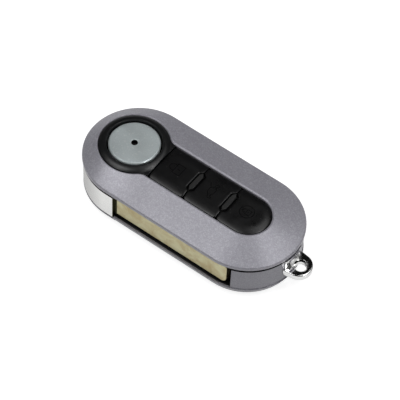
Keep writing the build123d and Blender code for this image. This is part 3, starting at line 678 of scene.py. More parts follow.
class Effects:
    """Shader node groups that several finishes share, each built at its first use."""

    COARSE_FLAKES = 0.62
    COARSE_GLINT = 0.7
    TONE_SCALE = 0.06
    SCRATCH_SCALE = 0.37
    SCRATCH_RANGE = (0.62, 0.70)
    SPECK_PITCH = 0.9
    SPECK_SHARE = 0.12

    @cached_property
    def within(self) -> NodeTree:
        """Mask of the part of a piece inside a box, given by its lowest and highest corner."""
        group = Group("within", **{f"{side}_{axis}": 0.0 for side in ("Low", "High") for axis in "XYZ"})
        place = group.add("SeparateXYZ", Vector=group.where()).outputs
        mask = 1.0
        for axis in "XYZ":
            at = group.math("DIVIDE", place[axis], MM)
            for side, test in (("Low", "GREATER_THAN"), ("High", "LESS_THAN")):
                mask = group.math("MULTIPLY", mask, group.math(test, at, group.given[f"{side} {axis}"]))
        return group.give(Mask=mask)

    @cached_property
    def flakes(self) -> NodeTree:
        """Metal flakes: random cells of two sizes, of which the brightest few glint."""
        group = Group("flakes", Cell=0.2, Share=0.2)
        where, share = group.where(), group.given["Share"]
        edge = group.math("SUBTRACT", 1.0, share)
        scale = group.per_metre(group.given["Cell"])
        values, glints = [], []
        for factor, strength in ((1.0, 1.0), (self.COARSE_FLAKES, self.COARSE_GLINT)):
            cells = group.add("TexVoronoi", Vector=where, Scale=group.math("MULTIPLY", scale, factor))
            value = group.add("SeparateColor", Color=cells.outputs["Color"]).outputs[0]
            glint = group.math("DIVIDE", group.math("SUBTRACT", value, edge), share)
            values.append(value)
            glints.append(group.math("MULTIPLY", glint, strength))
        glint = group.math("MAXIMUM", group.math("MAXIMUM", *glints), 0.0)
        return group.give(Glint=glint, Tilt=group.math("ADD", *values))

    @cached_property
    def grain(self) -> NodeTree:
        """Moulded grain: fine noise for height and slow noise for tone."""
        group = Group("grain", Size=0.2)
        where, scale = group.where(), group.per_metre(group.given["Size"])
        slow_scale = group.math("MULTIPLY", scale, self.TONE_SCALE)
        fine = group.add("TexNoise", Vector=where, Scale=scale, Detail=3.0, Roughness=0.6)
        slow = group.add("TexNoise", Vector=where, Scale=slow_scale, Detail=4.0)
        return group.give(Height=fine.outputs[0], Tone=slow.outputs[0])

    @cached_property
    def brushing(self) -> NodeTree:
        """Brushed lines: noise drawn out along one axis, with a few deeper scratches."""
        group = Group("brushing", Length_X=1.0, Length_Y=1.0, Length_Z=1.0, Fineness=0.1)
        scales = group.add("CombineXYZ")
        for axis in "XYZ":
            length = group.math("MULTIPLY", group.given["Length " + axis], group.given["Fineness"])
            group.feed(scales.inputs[axis], group.per_metre(length))
        stretched = group.vector_math("MULTIPLY", group.where(), scales.outputs[0])["Vector"]
        lines = group.add("TexNoise", Vector=stretched, Scale=1.0, Detail=2.0, Roughness=0.7)
        deep = group.add("TexNoise", Vector=stretched, Scale=self.SCRATCH_SCALE, Detail=1.0)
        scratch = group.remap(deep.outputs[0], *self.SCRATCH_RANGE)
        return group.give(Height=lines.outputs[0], Scratch=scratch)

    @cached_property
    def handling(self) -> NodeTree:
        """Marks of handling: soft smudges, and small specks of dust."""
        group = Group("handling", Size=6.0, Dust=0.1)
        where, scale = group.where(), group.per_metre(group.given["Size"])
        smudge = group.add("TexNoise", Vector=where, Scale=scale, Detail=5.0, Roughness=0.65)
        smudge.inputs["Distortion"].default_value = 0.6
        cells = group.add("TexVoronoi", Vector=where, Scale=1 / (self.SPECK_PITCH * MM)).outputs
        near = group.math("LESS_THAN", cells["Distance"], self.SPECK_SHARE)
        picked = group.add("SeparateColor", Color=cells["Color"]).outputs[1]
        chosen = group.math("LESS_THAN", picked, group.given["Dust"])
        return group.give(Smudge=smudge.outputs[0], Speck=group.math("MULTIPLY", near, chosen))


def tinted(colour: Colour, factor: float = 1.0) -> tuple[float, float, float, float]:
    """A colour made lighter or darker, with full opacity."""
    return (*(min(1.0, part * factor) for part in colour), 1.0)


def start_material(name: str, **inputs: object) -> tuple[Material, Tree, bpy.types.Node]:
    """Starts a material with one shader joined to its output.

    Args:
        name: Name of the material.
        inputs: Values for the shader's inputs, with underscores for spaces.

    Returns:
        The material, its tree and its shader.
    """
    material = bpy.data.materials.new(name)
    material.use_nodes = True
    tree = Tree(material.node_tree)
    shader = tree.add("BsdfPrincipled", **inputs)
    tree.add("OutputMaterial", Surface=shader.outputs[0])
    return material, tree, shader


@dataclass(frozen=True)
class Zone:
    """Part of a piece, inside a box in millimetres, that has a colour of its own."""

    colour: Colour
    low: Triple = (-FAR, -FAR, -FAR)
    high: Triple = (FAR, FAR, FAR)

    def over(self, tree: Tree, effects: Effects, base: Socket) -> Socket:
        """Mixes the zone's colour over a base colour and returns the result.

        Args:
            tree: Tree of the material.
            effects: The shared groups.
            base: Colour outside the zone.

        Returns:
            The mixed colour.
        """
        corners = (("Low", self.low), ("High", self.high))
        limits = {f"{side}_{axis}": value for side, corner in corners for axis, value in zip("XYZ", corner)}
        return tree.mix(tree.group(effects.within, **limits)["Mask"], base, tinted(self.colour))


@dataclass(frozen=True)
class Pattern:
    """What a finish's own pattern puts out: base colour, bump height and roughness to add."""

    base: Socket
    height: Socket
    rough: Socket | float = 0.0


@dataclass(frozen=True)
class Finish:
    """What every finish has: a pattern, zones of another colour, dust, smudges in its gloss, a bump.

    The wear is added to the roughness where smudges are least and where they are most. The shades are
    factors on the colour, from the pattern's dark to its light places.
    """

    name: str
    colour: Colour
    roughness: float = 0.3
    wear: Range = (-0.08, 0.08)
    shades: Range = (0.9, 1.1)
    smudge_size: float = 4.0
    depth: float = 0.002
    dust: float = 0.0
    dust_share: float = 0.12
    dust_colour: Colour = (0.5, 0.5, 0.48)
    metallic: float = 0.0
    coat: float = 0.0
    coat_roughness: float = 0.12
    zones: tuple[Zone, ...] = ()

    def shaded(self, tree: Tree, share: Socket) -> Socket:
        """Mixes the darker and the lighter shade of the colour by a share."""
        dark, light = self.shades
        return tree.mix(share, tinted(self.colour, dark), tinted(self.colour, light))

    def pattern(self, tree: Tree, effects: Effects, smudge: Socket) -> Pattern:
        """Adds the pattern that makes this kind of finish."""
        raise NotImplementedError

    def build(self, effects: Effects) -> Material:
        """Builds the material: the pattern, then zones, dust, gloss and bump over it.

        Args:
            effects: The shared groups.

        Returns:
            The material.
        """
        material, tree, shader = start_material(
            self.name, Metallic=self.metallic, Coat_Weight=self.coat, Coat_Roughness=self.coat_roughness
        )
        marks = tree.group(effects.handling, Size=self.smudge_size, Dust=self.dust)
        pattern = self.pattern(tree, effects, marks["Smudge"])
        base = pattern.base
        for zone in self.zones:
            base = zone.over(tree, effects, base)
        if self.dust:
            specks = tree.math("MULTIPLY", marks["Speck"], self.dust_share)
            base = tree.mix(specks, base, tinted(self.dust_colour))
        smooth, rough = (self.roughness + change for change in self.wear)
        gloss = tree.math("ADD", tree.spread(marks["Smudge"], smooth, rough), pattern.rough)
        bump = tree.add("Bump", Strength=1.0, Distance=self.depth * MM, Height=pattern.height)
        tree.feed(shader.inputs["Base Color"], base)
        tree.feed(shader.inputs["Roughness"], gloss)
        tree.feed(shader.inputs["Normal"], bump.outputs[0])
        return material


@dataclass(frozen=True)
class FlakePaint(Finish):
    """Metallic paint under clear lacquer."""

    name: str = "metallic_grey_paint"
    colour: Colour = (0.335, 0.329, 0.372)
    roughness: float = 0.40
    wear: Range = (-0.04, 0.05)
    smudge_size: float = 7.0
    metallic: float = 0.30
    coat: float = 0.2
    glint: Colour = (0.82, 0.82, 0.84)
    glint_share: float = 0.20
    flake_share: float = 0.22
    cell: float = 0.19
    tilt_range: Range = (0.2, 1.8)

    def pattern(self, tree: Tree, effects: Effects, smudge: Socket) -> Pattern:
        """Flakes in the base colour, each with a tilt of its own in the bump.

        Args:
            tree: Tree of the material.
            effects: The shared groups.
            smudge: Mask of smudges, not used here.

        Returns:
            Flaked colour, and tilt for the bump.
        """
        flakes = tree.group(effects.flakes, Cell=self.cell, Share=self.flake_share)
        base = self.shaded(tree, tree.remap(flakes["Tilt"], *self.tilt_range))
        glint = tree.math("MULTIPLY", flakes["Glint"], self.glint_share)
        return Pattern(tree.mix(glint, base, tinted(self.glint)), flakes["Tilt"])


@dataclass(frozen=True)
class Moulding(Finish):
    """Plain moulded plastic or rubber with a fine grain."""

    wear: Range = (-0.06, 0.07)
    shades: Range = (0.88, 1.15)
    smudge_size: float = 5.0
    depth: float = 0.006
    dust: float = 0.06
    grain: float = 0.25

    def pattern(self, tree: Tree, effects: Effects, smudge: Socket) -> Pattern:
        """Grain for the bump and slow changes of tone."""
        grain = tree.group(effects.grain, Size=self.grain)
        return Pattern(self.shaded(tree, tree.spread(grain["Tone"])), grain["Height"])


@dataclass(frozen=True)
class ShadeFade:
    """Painted shade along X: a share of the colour at one place, all of it at another."""

    start: float
    end: float
    share: float

    def over(self, tree: Tree, base: Socket, shaded_colour: Colour) -> Socket:
        """Mixes the colour, darkened as painted shade, into a base colour and returns the result.

        Args:
            tree: Tree of the material.
            base: Colour that is kept at the end.
            shaded_colour: Colour that is darkened at the start, as painted shade.

        Returns:
            The mixed colour.
        """
        x = tree.add("SeparateXYZ", Vector=tree.where()).outputs["X"]
        kept = tree.remap(x, self.start * MM, self.end * MM)
        return tree.mix(kept, tinted(shaded_colour, self.share), base)


@dataclass(frozen=True)
class Metal(Finish):
    """Bare or plated metal with brushed lines or light scratches."""

    metallic: float = 1.0
    stretch: Triple = (1.0, 1.0, 1.0)
    fineness: float = 0.12
    scratch: float = 0.3
    scratch_shade: float = 1.25
    scratch_rough: float = 0.1
    stain: Colour | None = None
    stain_range: Range = (0.36, 0.66)
    fade: ShadeFade | None = None

    def pattern(self, tree: Tree, effects: Effects, smudge: Socket) -> Pattern:
        """Brushed lines for the bump, scratches that are lighter and rougher, soft stains, and painted
        shade along X where a fade is given.

        Args:
            tree: Tree of the material.
            effects: The shared groups.
            smudge: Mask of smudges, where stains lie.

        Returns:
            Colour, lines for the bump, and roughness of the scratches.
        """
        x, y, z = self.stretch
        brushing = tree.group(effects.brushing, Length_X=x, Length_Y=y, Length_Z=z, Fineness=self.fineness)
        scratches = tree.math("MULTIPLY", brushing["Scratch"], self.scratch)
        base = self.shaded(tree, brushing["Height"])
        base = tree.mix(scratches, base, tinted(self.colour, self.scratch_shade))
        if self.stain:
            base = tree.mix(tree.remap(smudge, *self.stain_range), base, tinted(self.stain))
        if self.fade:
            base = self.fade.over(tree, base, self.colour)
        return Pattern(base, brushing["Height"], tree.math("MULTIPLY", scratches, self.scratch_rough))


@dataclass(frozen=True)
class SideShadows:
    """Painted shade on the side: shadow in the gap under the cover, and the head's neck beside the blade's
    end.
    """

    sizes: CaseSizes
    overlap: float = 0.05
    block_x: float = 4.65
    neck_x: float = 5.95
    neck_y: float = -12.3
    shaded_neck_colour: Colour = (0.062, 0.060, 0.020)

    @property
    def gap_z(self) -> float:
        """Height just under the step that the gap begins at."""
        return self.sizes.seam_z - self.overlap

    @property
    def gap(self) -> Zone:
        """Painted shadow over everything above the step, on the band and on the head."""
        return Zone(SHADOW, low=(-FAR, -FAR, self.gap_z))

    @property
    def neck(self) -> Zone:
        """Recessed neck, from the head's block to the blade's end: a brass tone, darkened as painted shade.
        """
        return Zone(self.shaded_neck_colour, (self.block_x, -FAR, -FAR), (self.neck_x, self.neck_y, FAR))


class Palette:
    """All the finishes of the key: one for each material slot, and those of single pieces."""

    # factors that darken copies of the cover's paint for the side band and the lower cover: painted shade
    BAND_PAINTED_SHADE = 0.78
    LOWER_PAINTED_SHADE = 0.72
    SIDE_CELL = 0.11

    def __init__(self, shadows: SideShadows, bars: Zone, pit: Zone, wall: Zone) -> None:
        """Builds the shared effects and every material.

        Args:
            shadows: Painted shade on the side.
            bars: Tops of the divider bars.
            pit: Painted shade in the dimple of the release button.
            wall: Painted root of the loop.
        """
        effects, paint = Effects(), FlakePaint()
        side_paint = replace(paint, cell=self.SIDE_CELL)
        band, lower = (tinted(paint.colour, shade)[:3] for shade in (self.BAND_PAINTED_SHADE, self.LOWER_PAINTED_SHADE))
        plating = Metal(
            "chrome_plating", (0.92, 0.92, 0.91), 0.09, wear=(-0.03, 0.03), depth=0.0003, scratch=0.1
        )
        plastic = Moulding("soft_black_plastic", (0.0070, 0.0074, 0.0080), 0.36)
        button = Moulding("button_black_plastic", (0.0050, 0.0050, 0.0053), 0.30, depth=0.003, grain=0.16)
        finishes = {
            "metallic_grey": paint,
            # the band: the cover's paint darkened as painted shade, with painted shadow in the gap under
            # the cover
            "shaded_band_paint": replace(side_paint, name="shaded_band_paint", colour=band, zones=(shadows.gap,)),
            "shaded_lower_paint": replace(side_paint, name="shaded_lower_paint", colour=lower),
            "chrome_plate": plating,
            "loop_plating": replace(plating, name="loop_plating", roughness=0.3, zones=(wall,)),
            # the head is painted darker towards the pivot end as shade, with painted shade on the neck and
            # painted shadow in the gap
            "head_plating": replace(
                plating, name="head_plating", colour=(0.90, 0.90, 0.885), roughness=0.24,
                fade=ShadeFade(-11.0, 1.0, 0.42), zones=(shadows.neck, shadows.gap),
            ),
            "soft_black": plastic,
            "bezel_black": replace(
                plastic, name="bezel_black_plastic", colour=(0.0065, 0.0068, 0.0074), roughness=0.34,
                zones=(bars,),
            ),
            "button_black": button,
            "symbol_black": replace(
                button, name="symbol_black_ink", colour=(0.0026, 0.0026, 0.0028), roughness=0.22,
                depth=0.001, dust=0.0, grain=0.1,
            ),
            # the dimple of the release button gets painted shade
            "satin_metal": Metal(
                "satin_metal", (0.76, 0.84, 0.85), 0.42, metallic=0.7, zones=(pit,), fineness=0.25,
                scratch=0.6,
            ),
            "brass": Metal(
                "brass_blank", (0.59, 0.565, 0.36), 0.36, stretch=(40.0, 1.0, 1.0), scratch=0.25,
                stain=(0.47, 0.39, 0.215),
            ),
            "spring_steel": Metal("spring_wire", (0.42, 0.42, 0.43), 0.32),
            "screw_steel": Metal("screw_steel", (0.40, 0.40, 0.42), 0.35),
            "contact_metal": Metal("contact_strip", (0.58, 0.57, 0.53), 0.28, stretch=(1.0, 12.0, 1.0)),
            "cell_steel": Metal("cell_steel", (0.55, 0.55, 0.56), 0.30, stretch=(20.0, 1.0, 1.0)),
            "grey_rubber": Moulding("grey_rubber", (0.10, 0.105, 0.115), 0.7, grain=0.4),
            "green_board": Moulding("green_board", (0.010, 0.060, 0.028), 0.35, grain=0.5),
            "chip_black": Moulding("chip_black", (0.010, 0.010, 0.011), 0.55, grain=0.12),
            "switch_body": Moulding("switch_body", (0.020, 0.020, 0.022), 0.5),
        }
        self.materials = {slot: finish.build(effects) for slot, finish in finishes.items()}

    def __getitem__(self, slot: str) -> Material:
        """Material of a slot."""
        return self.materials[slot]


@dataclass
class Shells:
    """Painted shells of the case: upper cover, side band and lower cover.

    The band's steps are those from the slot to the loop's window, along the window, from there to the
    straight side, and along that side.
    """

    STANDS_FOR = ("upper_cover", "lower_cover", "side_band")

    sizes: CaseSizes
    outlines: Outlines
    upper_wall: float = 1.2
    lip_share: float = 0.95
    lip_depth: float = 0.5
    shoulder: float = 0.3
    undercut: float = 0.9
    lower_wall: float = 0.8
    floor_chamfer: float = 1.05
    band_wall: float = 1.5
    tip_gap: float = 1.4
    foot_inset: float = 1.6
    foot_radius: float = 1.9
    pivot_rim_inset: float = 0.2
    rim_radius: float = 0.55
    lip_radius: float = 0.3
    edge_radius: float = 0.12
    inner_radius: float = 0.05
    bend_radius: float = 0.1
    floor_share: float = 0.6
    gate_x: float = 5.0
    gate_z: float = 2.65
    window_half: float = 3.9
    window_low: float = 5.8
    band_steps: tuple[int, int, int, int] = (24, 10, 30, 16)

    def upper_cover(self) -> Piece:
        """Upper cover: a closed section of eight corners carried round the case and the keyhole.

        The slope is ruled: each of its points lies on the straight line from a point of the case
        outline to the matching point of the keyhole.

        Returns:
            The piece.
        """
        sizes, shape = self.sizes, self.outlines
        outer, inner = shape.case(sizes.case_radius), shape.case(sizes.case_radius - self.upper_wall)
        rim, opening, edge = lift(outer, sizes.rim_z), shape.keyhole(), sizes.opening_z
        corners = np.stack([
            lift(outer, sizes.cover_low),
            rim,
            rim + self.lip_share * (lift(opening, edge) - rim),
            lift(opening, edge - self.lip_depth),
            lift(opening, edge - self.upper_wall),
            lift(shape.keyhole(self.undercut), edge - self.upper_wall),
            lift(inner, sizes.rim_z - self.shoulder),
            lift(inner, sizes.cover_low),
        ])
        radii = [self.edge_radius, self.rim_radius, self.lip_radius, self.edge_radius]
        rings = rounded_section(corners, [*radii, self.inner_radius, 0, 0, self.inner_radius], 5)
        return assemble("upper_shell", Skin().hoop(rings))

    def lower_cover(self) -> Piece:
        """Lower cover: a dish section from the middle of the back round the edge to the inner floor.

        The side leans inwards to the back. Beside the head the rim is lower and a little further in.

        Returns:
            The piece.
        """
        case, radius = self.outlines.case, self.sizes.case_radius
        inner, floor_radius = radius - self.lower_wall, self.floor_share * radius
        band_low, floor = node_box("side_band")[0][2], node_box("inner_frame")[0][2]
        at_head = case(radius)[:, :1] < self.gate_x
        edge = np.where(at_head, case(radius - self.pivot_rim_inset), case(radius))
        rim = np.where(at_head[:, 0], self.gate_z, band_low)
        corners = np.stack([
            lift(case(floor_radius), 0.0),
            lift(case(radius - self.foot_inset), 0.0),
            lift(edge, rim),
            lift(case(inner), rim),
            lift(case(inner), floor + self.floor_chamfer),
            lift(case(inner - self.floor_chamfer), floor),
            lift(case(floor_radius), floor),
        ])
        edge_radius, bend_radius = self.edge_radius, self.bend_radius
        radii = [0, self.foot_radius, edge_radius, edge_radius, bend_radius, bend_radius, 0]
        rings = rounded_section(corners, radii, 8)
        rings = np.concatenate([lift(case(0.0), 0.0)[None], rings, lift(case(0.0), floor)[None]])
        return assemble("lower_shell", Skin().grid(rings, close_columns=True))

    def band_wall_points(self, radius: float, z: float) -> Array:
        """Points of the band's wall, from the slot's end round the loop end and along the side.

        Each of its four spans is divided evenly on its own circle.

        Args:
            radius: Distance from the case's middle line.
            z: Height.

        Returns:
            Rows of x, y and z.
        """
        centre, side_end = (self.sizes.loop_x, 0.0), (node_box("side_band")[0][0], radius)
        slot_end_x = node_box("blade")[1][0] + self.tip_gap
        start = -math.acos((slot_end_x - self.sizes.loop_x) / radius)
        window = math.asin(self.window_half / radius)
        to_window, along_window, to_side, along_side = self.band_steps
        return lift(np.concatenate([
            arc(centre, radius, start, -window, to_window),
            arc(centre, radius, -window, window, along_window),
            arc(centre, radius, window, math.pi / 2, to_side),
            line((self.sizes.loop_x, radius), side_end, along_side),
            [side_end],
        ]), z)

    def side_band(self) -> Piece:
        """Side band: a wall of nine corners from the slot's end round the loop end, with a window.

        The top of the wall is stepped back, which leaves the shadow gap under the cover. The window
        for the loop lies between two columns of the wall, so its sides are caps and its sill and
        lintel are strips.

        Returns:
            The piece.
        """
        low, high = (corner[2] for corner in node_box("side_band"))
        outer, seam, sill = self.sizes.band_radius, self.sizes.seam_z, self.window_low
        step, inner = outer - self.sizes.seam_depth, outer - self.band_wall
        section = (
            (outer, low), (outer, sill), (outer, seam), (step, seam), (step, high),
            (inner, high), (inner, seam), (inner, sill), (inner, low),
        )
        rings = np.stack([self.band_wall_points(radius, z) for radius, z in section])
        first, last = self.band_steps[0], sum(self.band_steps[:2])
        keep = np.ones((len(rings), rings.shape[1] - 1), bool)
        keep[[1, 2, 6], first:last] = False
        skin = Skin().grid(rings, close_rows=True, keep=keep)
        for column in (first, last):
            skin.cap(rings[[1, 2, 3, 6, 7], column])
        for outside, inside in ((1, 7), (3, 6)):
            skin.grid(rings[[outside, inside], first:last + 1])
        for column in (0, -1):
            skin.cap(rings[:, column])
        band = assemble("side_shell", skin)
        Edging().round_edges(band)
        return band

    def build(self, palette: Palette) -> None:
        """Makes and dresses the three shells.

        Args:
            palette: The finishes.
        """
        upper, lower = self.upper_cover(), self.lower_cover()
        settle_normals(upper)
        settle_normals(lower)
        # the lower cover and the band get darker copies of the cover's paint, as painted shade
        finishes = ("metallic_grey", "shaded_lower_paint", "shaded_band_paint")
        for shell, finish, node in zip((upper, lower, self.side_band()), finishes, self.STANDS_FOR):
            place(shell, Body.CASE, "metallic_grey", palette[finish], node)


@dataclass(frozen=True)
class Line:
    """One line of a symbol, in its own right and up directions."""

    path: Array
    closed: bool = False


def symbol_lines(symbol: Symbol) -> list[Line]:
    """Lines of a plain symbol.

    Args:
        symbol: Which one.

    Returns:
        Its lines, about 4 mm across.
    """
    if symbol is Symbol.BOOT_LID:
        front, rear = (arc((x, -0.8), 0.5, math.pi, 0, 9) for x in (-1.35, 1.35))
        sill = np.concatenate([[(-2.3, -0.8)], front, rear, [(2.3, -0.8)]])
        roof = [(2.2, 0.1), (1.3, 0.25), (0.7, 1.0), (-0.8, 1.0), (-1.5, 0.25), (-2.2, 0.1)]
        return [Line(np.concatenate([sill, roof]), True), Line(np.array([(0.95, 1.15), (2.0, 1.8)]))]
    opened = 0.6 if symbol is Symbol.OPEN_PADLOCK else 0.0
    body = np.array([(-1.5, -1.6), (1.5, -1.6), (1.5, 0.5), (-1.5, 0.5)])
    bow = arc((0, 1.1 + opened), 0.95, math.pi, 0, 16)
    shackle = np.concatenate([[(-0.95, 0.5 + opened)], bow, [(0.95, 1.1 + opened), (0.95, 0.5)]])
    lines = [Line(body, True), Line(shackle), Line(np.array([(0, -0.2), (0, -0.9)]))]
    if symbol is Symbol.OPEN_PADLOCK:
        lines.append(Line(circle(3.5, (0, 0.3), 72), True))
    return lines


def stroke(drawn: Line, width: float, low: float, high: float) -> Skin:
    """Gives a line a width: each side is the path moved half the width along its mitre.

    Args:
        drawn: The line.
        width: Its width.
        low: Height of its lower face.
        high: Height of its upper face.

    Returns:
        The closed surface.
    """
    side = width / 2 * mitres(drawn.path, drawn.closed)
    left, right = drawn.path + side, drawn.path - side
    rows = np.stack([lift(left, low), lift(left, high), lift(right, high), lift(right, low)])
    skin = Skin().grid(rows, close_rows=True, close_columns=drawn.closed)
    return skin if drawn.closed else skin.cap(rows[:, 0]).cap(rows[:, -1])


def hexagon(half_width: float, half_length: float, point: float) -> Array:
    """Long hexagon, counter-clockwise, with its points along Y."""
    half = [(half_width, point - half_length), (half_width, half_length - point), (0, half_length)]
    return np.array(half + [(-x, -y) for x, y in half])


@dataclass
class Keypad:
    """Black bezel with its crowned ring and divider bars, and the three push buttons.

    A sign is the middle of a symbol along X and Y, and its scale.
    """

    STANDS_FOR = ("button_bezel", "lock_button", "boot_button", "unlock_button")
    SWITCHES = ("lock_switch", "boot_switch", "unlock_switch")

    sizes: CaseSizes
    outlines: Outlines
    gap: float = 0.15
    lock_left: float = 9.9
    divider_1: float = 21.85
    divider_2: float = 33.25
    split: float = 0.24
    drop: float = 0.2
    edge_width: float = 0.38
    edge_height: float = 0.3
    edge_start: float = 1e-4
    edge_steps: int = 4
    columns: int = 30
    corner: float = 1.0
    pillow_width: float = 3.0
    pillow_drop: float = 0.55
    travel: float = 0.4
    bar_half_width: float = 0.68
    bar_half_length: float = 3.45
    bar_point: float = 1.0
    bar_gap: float = 0.5
    bar_rise: float = 0.22
    bar_colour: Colour = (0.022, 0.022, 0.022)
    bar_margin: float = 0.1
    bar_depth: float = 0.3
    spokes: int = 240
    ring_steps: int = 25
    neck_margin: float = 1.0
    least_cosine: float = 0.1
    ring_crowding: float = 1.5
    ring_crest: float = 0.5
    crest_share: float = 0.12
    bore_drop: float = 0.5
    neck_drop: float = 0.25
    bore_gap: float = 0.5
    deck_flange: float = 0.65
    deck_height: float = 1.8
    cover_wall: float = 1.2
    stem_radius: float = 1.3
    stem_gap: float = 0.25
    press_gap: float = 0.05
    joint: float = 0.1
    edging: Edging = Edging(0.13, 3, 50.0)
    sign_width: float = 0.22
    sign_depth: float = 0.1
    sign_height: float = 0.02
    lock_sign: Triple = (14.9, 0.3, 1.15)
    boot_sign: Triple = (27.3, 0.2, 1.12)
    unlock_sign: Triple = (39.3, 0.4, 0.6)

    @property
    def half(self) -> float:
        """Half the width of the deck and of the push buttons."""
        return self.sizes.slot_half - self.gap

    @property
    def ring_end(self) -> float:
        """Where the neck of the ring ends along X, before the first push button."""
        return self.lock_left - self.split

    @property
    def bar_hollow(self) -> Point:
        """Half width and half length of the hollow that the buttons leave round a divider bar."""
        return self.bar_half_width + self.bar_gap, self.bar_half_length + self.bar_gap

    @property
    def top_z(self) -> float:
        """Height of the push buttons' tops."""
        return self.sizes.opening_z - self.drop

    @property
    def deck_z(self) -> float:
        """Height of the deck under the push buttons."""
        return self.sizes.cover_low + self.deck_height

    @property
    def flange_z(self) -> float:
        """Height of the flange's upper face."""
        return self.sizes.cover_low + self.deck_flange

    @property
    def button_low(self) -> float:
        """Height of the push buttons' lower faces."""
        return self.deck_z + self.travel + self.press_gap

    @property
    def bore(self) -> float:
        """Radius of the bezel's bore round the release button."""
        return node_box("release_button")[1][1] + self.bore_gap

    @property
    def switch_places(self) -> tuple[float, ...]:
        """Places of the three switches along X."""
        return tuple(float(sum(corner[0] for corner in node_box(name)) / 2) for name in self.SWITCHES)

    def ring_height(self, share: Array) -> Array:
        """Height of the crowned ring: it falls by the square of the distance to its crest.

        Args:
            share: Places between the bore, 0, and the round eye's edge, 1. The neck lies past it.

        Returns:
            Heights.
        """
        crest = self.sizes.opening_z + self.ring_crest
        foot = self.sizes.opening_z - self.neck_drop
        inside = np.clip(1 - share / self.crest_share, 0, 1)
        outside = np.clip((share - self.crest_share) / (1 - self.crest_share), 0, 1)
        return crest - self.bore_drop * inside**2 - (crest - foot) * outside**2

    def top_height(self, x: Array, y: Array) -> Array:
        """Height of the push buttons' tops: level, then falling to the slot's edge by a square law.

        Args:
            x: Places along the case.
            y: Places across it.

        Returns:
            Heights.
        """
        past = np.maximum(x - self.sizes.loop_x, 0)
        inside = self.half - np.hypot(past, y)
        share = np.clip(1 - inside / self.pillow_width, 0, 1)
        return self.top_z - self.pillow_drop * share**2

    def ring(self) -> Skin:
        """Crowned ring and neck: a height over the distance from the pivot, out to the opening's edge.

        Each spoke runs from the bore to the keyhole outline or to the first button, whichever comes
        first, so the neck's two corners are part of the same surface.

        Returns:
            The closed surface.
        """
        bore, limit = self.bore, self.ring_end
        outline = self.outlines.keyhole(-self.gap)
        outline = outline[outline[:, 0] <= limit + self.neck_margin]
        angle = np.arctan2(outline[:, 1], outline[:, 0]) % (2 * math.pi)
        order = np.argsort(angle)
        corner = math.atan2(self.half, limit)
        even = np.linspace(0, 2 * math.pi, self.spokes, endpoint=False)
        spokes = np.sort(np.append(even, [corner, 2 * math.pi - corner]))
        distance = np.interp(spokes, angle[order], np.hypot(*outline.T)[order], period=2 * math.pi)
        ahead = np.cos(spokes) > self.least_cosine
        distance[ahead] = np.minimum(distance[ahead], limit / np.cos(spokes[ahead]))
        share = np.linspace(0, 1, self.ring_steps + 1)[:, None] ** self.ring_crowding
        radius = bore + share * (distance - bore)
        height = self.ring_height((radius - bore) / (self.sizes.eye_radius - self.gap - bore))
        top = np.stack([radius * np.cos(spokes), radius * np.sin(spokes), height], -1)
        feet = top[[0, -1]].copy()
        feet[..., 2] = self.flange_z
        rings = np.concatenate([feet[:1], top, feet[1:]])
        return Skin().hoop(rings)

    def bar(self, x: float) -> Skin:
        """Divider bar on the deck, a little proud of the push buttons."""
        outline = hexagon(self.bar_half_width, self.bar_half_length, self.bar_point) + (x, 0)
        return plate(outline, [], self.deck_z, self.top_z + self.bar_rise)

    def bezel(self) -> Piece:
        """Bezel: ring and neck, flange, deck with stem holes, and divider bars.

        Returns:
            The piece.
        """
        half, limit, loop_x = self.half, self.ring_end, self.sizes.loop_x
        stems = [circle(self.stem_radius + self.stem_gap, (x, 0), 32) for x in self.switch_places]
        rim = self.outlines.case(self.sizes.case_radius - self.cover_wall - self.gap)
        deck = np.concatenate([
            line((limit, -half), (loop_x, -half), 20),
            arc((loop_x, 0), half, -math.pi / 2, math.pi / 2, 40),
            line((loop_x, half), (limit, half), 20),
            line((limit, half), (limit, -half), 10),
        ])
        flange = plate(rim, [circle(self.bore, count=120), *stems], self.sizes.cover_low, self.flange_z)
        bezel = assemble(
            "keypad_bezel", self.ring(), flange, plate(deck, stems, self.flange_z, self.deck_z),
            self.bar(self.divider_1), self.bar(self.divider_2), sharp_degrees=50,
        )
        self.edging.round_edges(bezel)
        return bezel

    def side(self, x: float, divider: float | None, inward: int, y: Array) -> Array:
        """Side of a push button as x over y: straight, round at its corners, hollow beside a bar.

        Args:
            x: Where the straight part is.
            divider: Middle of the divider bar beside it, if there is one.
            inward: 1 where the button lies towards +X, -1 where it lies towards -X.
            y: Places along the side.

        Returns:
            The side's x at each place.
        """
        past = np.clip(np.abs(y) - (self.half - self.corner), 0, self.corner)
        edge = x + inward * (self.corner - np.sqrt(self.corner**2 - past**2))
        if divider is None:
            return edge
        wide, tall = self.bar_hollow
        bar = divider + inward * wide * np.clip((tall - np.abs(y)) / self.bar_point, 0, 1)
        return np.maximum(edge, bar) if inward > 0 else np.minimum(edge, bar)

    def footprint(self, left: float, right: float | None, dividers: tuple[float | None, float | None]
                  ) -> Array:
        """Grid over a push button: rows of y, each divided evenly between the button's two sides.

        The rows crowd at the round corners, and two on each half lie at the knees of a side that is
        hollow beside a divider bar.

        Args:
            left: Smallest x.
            right: Largest x, or None for the round end.
            dividers: Divider bar beside the left and the right side, or None.

        Returns:
            Array of rows, columns, and x and y.
        """
        straight, (wide, tall) = self.half - self.corner, self.bar_hollow
        knees = [tall - self.split / 2 * self.bar_point / wide, tall - self.bar_point]
        corner = straight + self.corner * np.sin(np.linspace(0, math.pi / 2, 8))
        upper = np.unique(np.concatenate([np.linspace(0, straight, 16), corner, knees]).round(6))
        y = np.concatenate([-upper[:0:-1], upper])
        start = self.side(left, dividers[0], 1, y)
        if right is None:
            end = self.sizes.loop_x + np.sqrt(np.maximum(self.half**2 - y**2, 0))
        else:
            end = self.side(right, dividers[1], -1, y)
        x = start[:, None] + np.linspace(0, 1, self.columns + 1) * (end - start)[:, None]
        return np.stack([x, np.broadcast_to(y[:, None], x.shape)], -1)

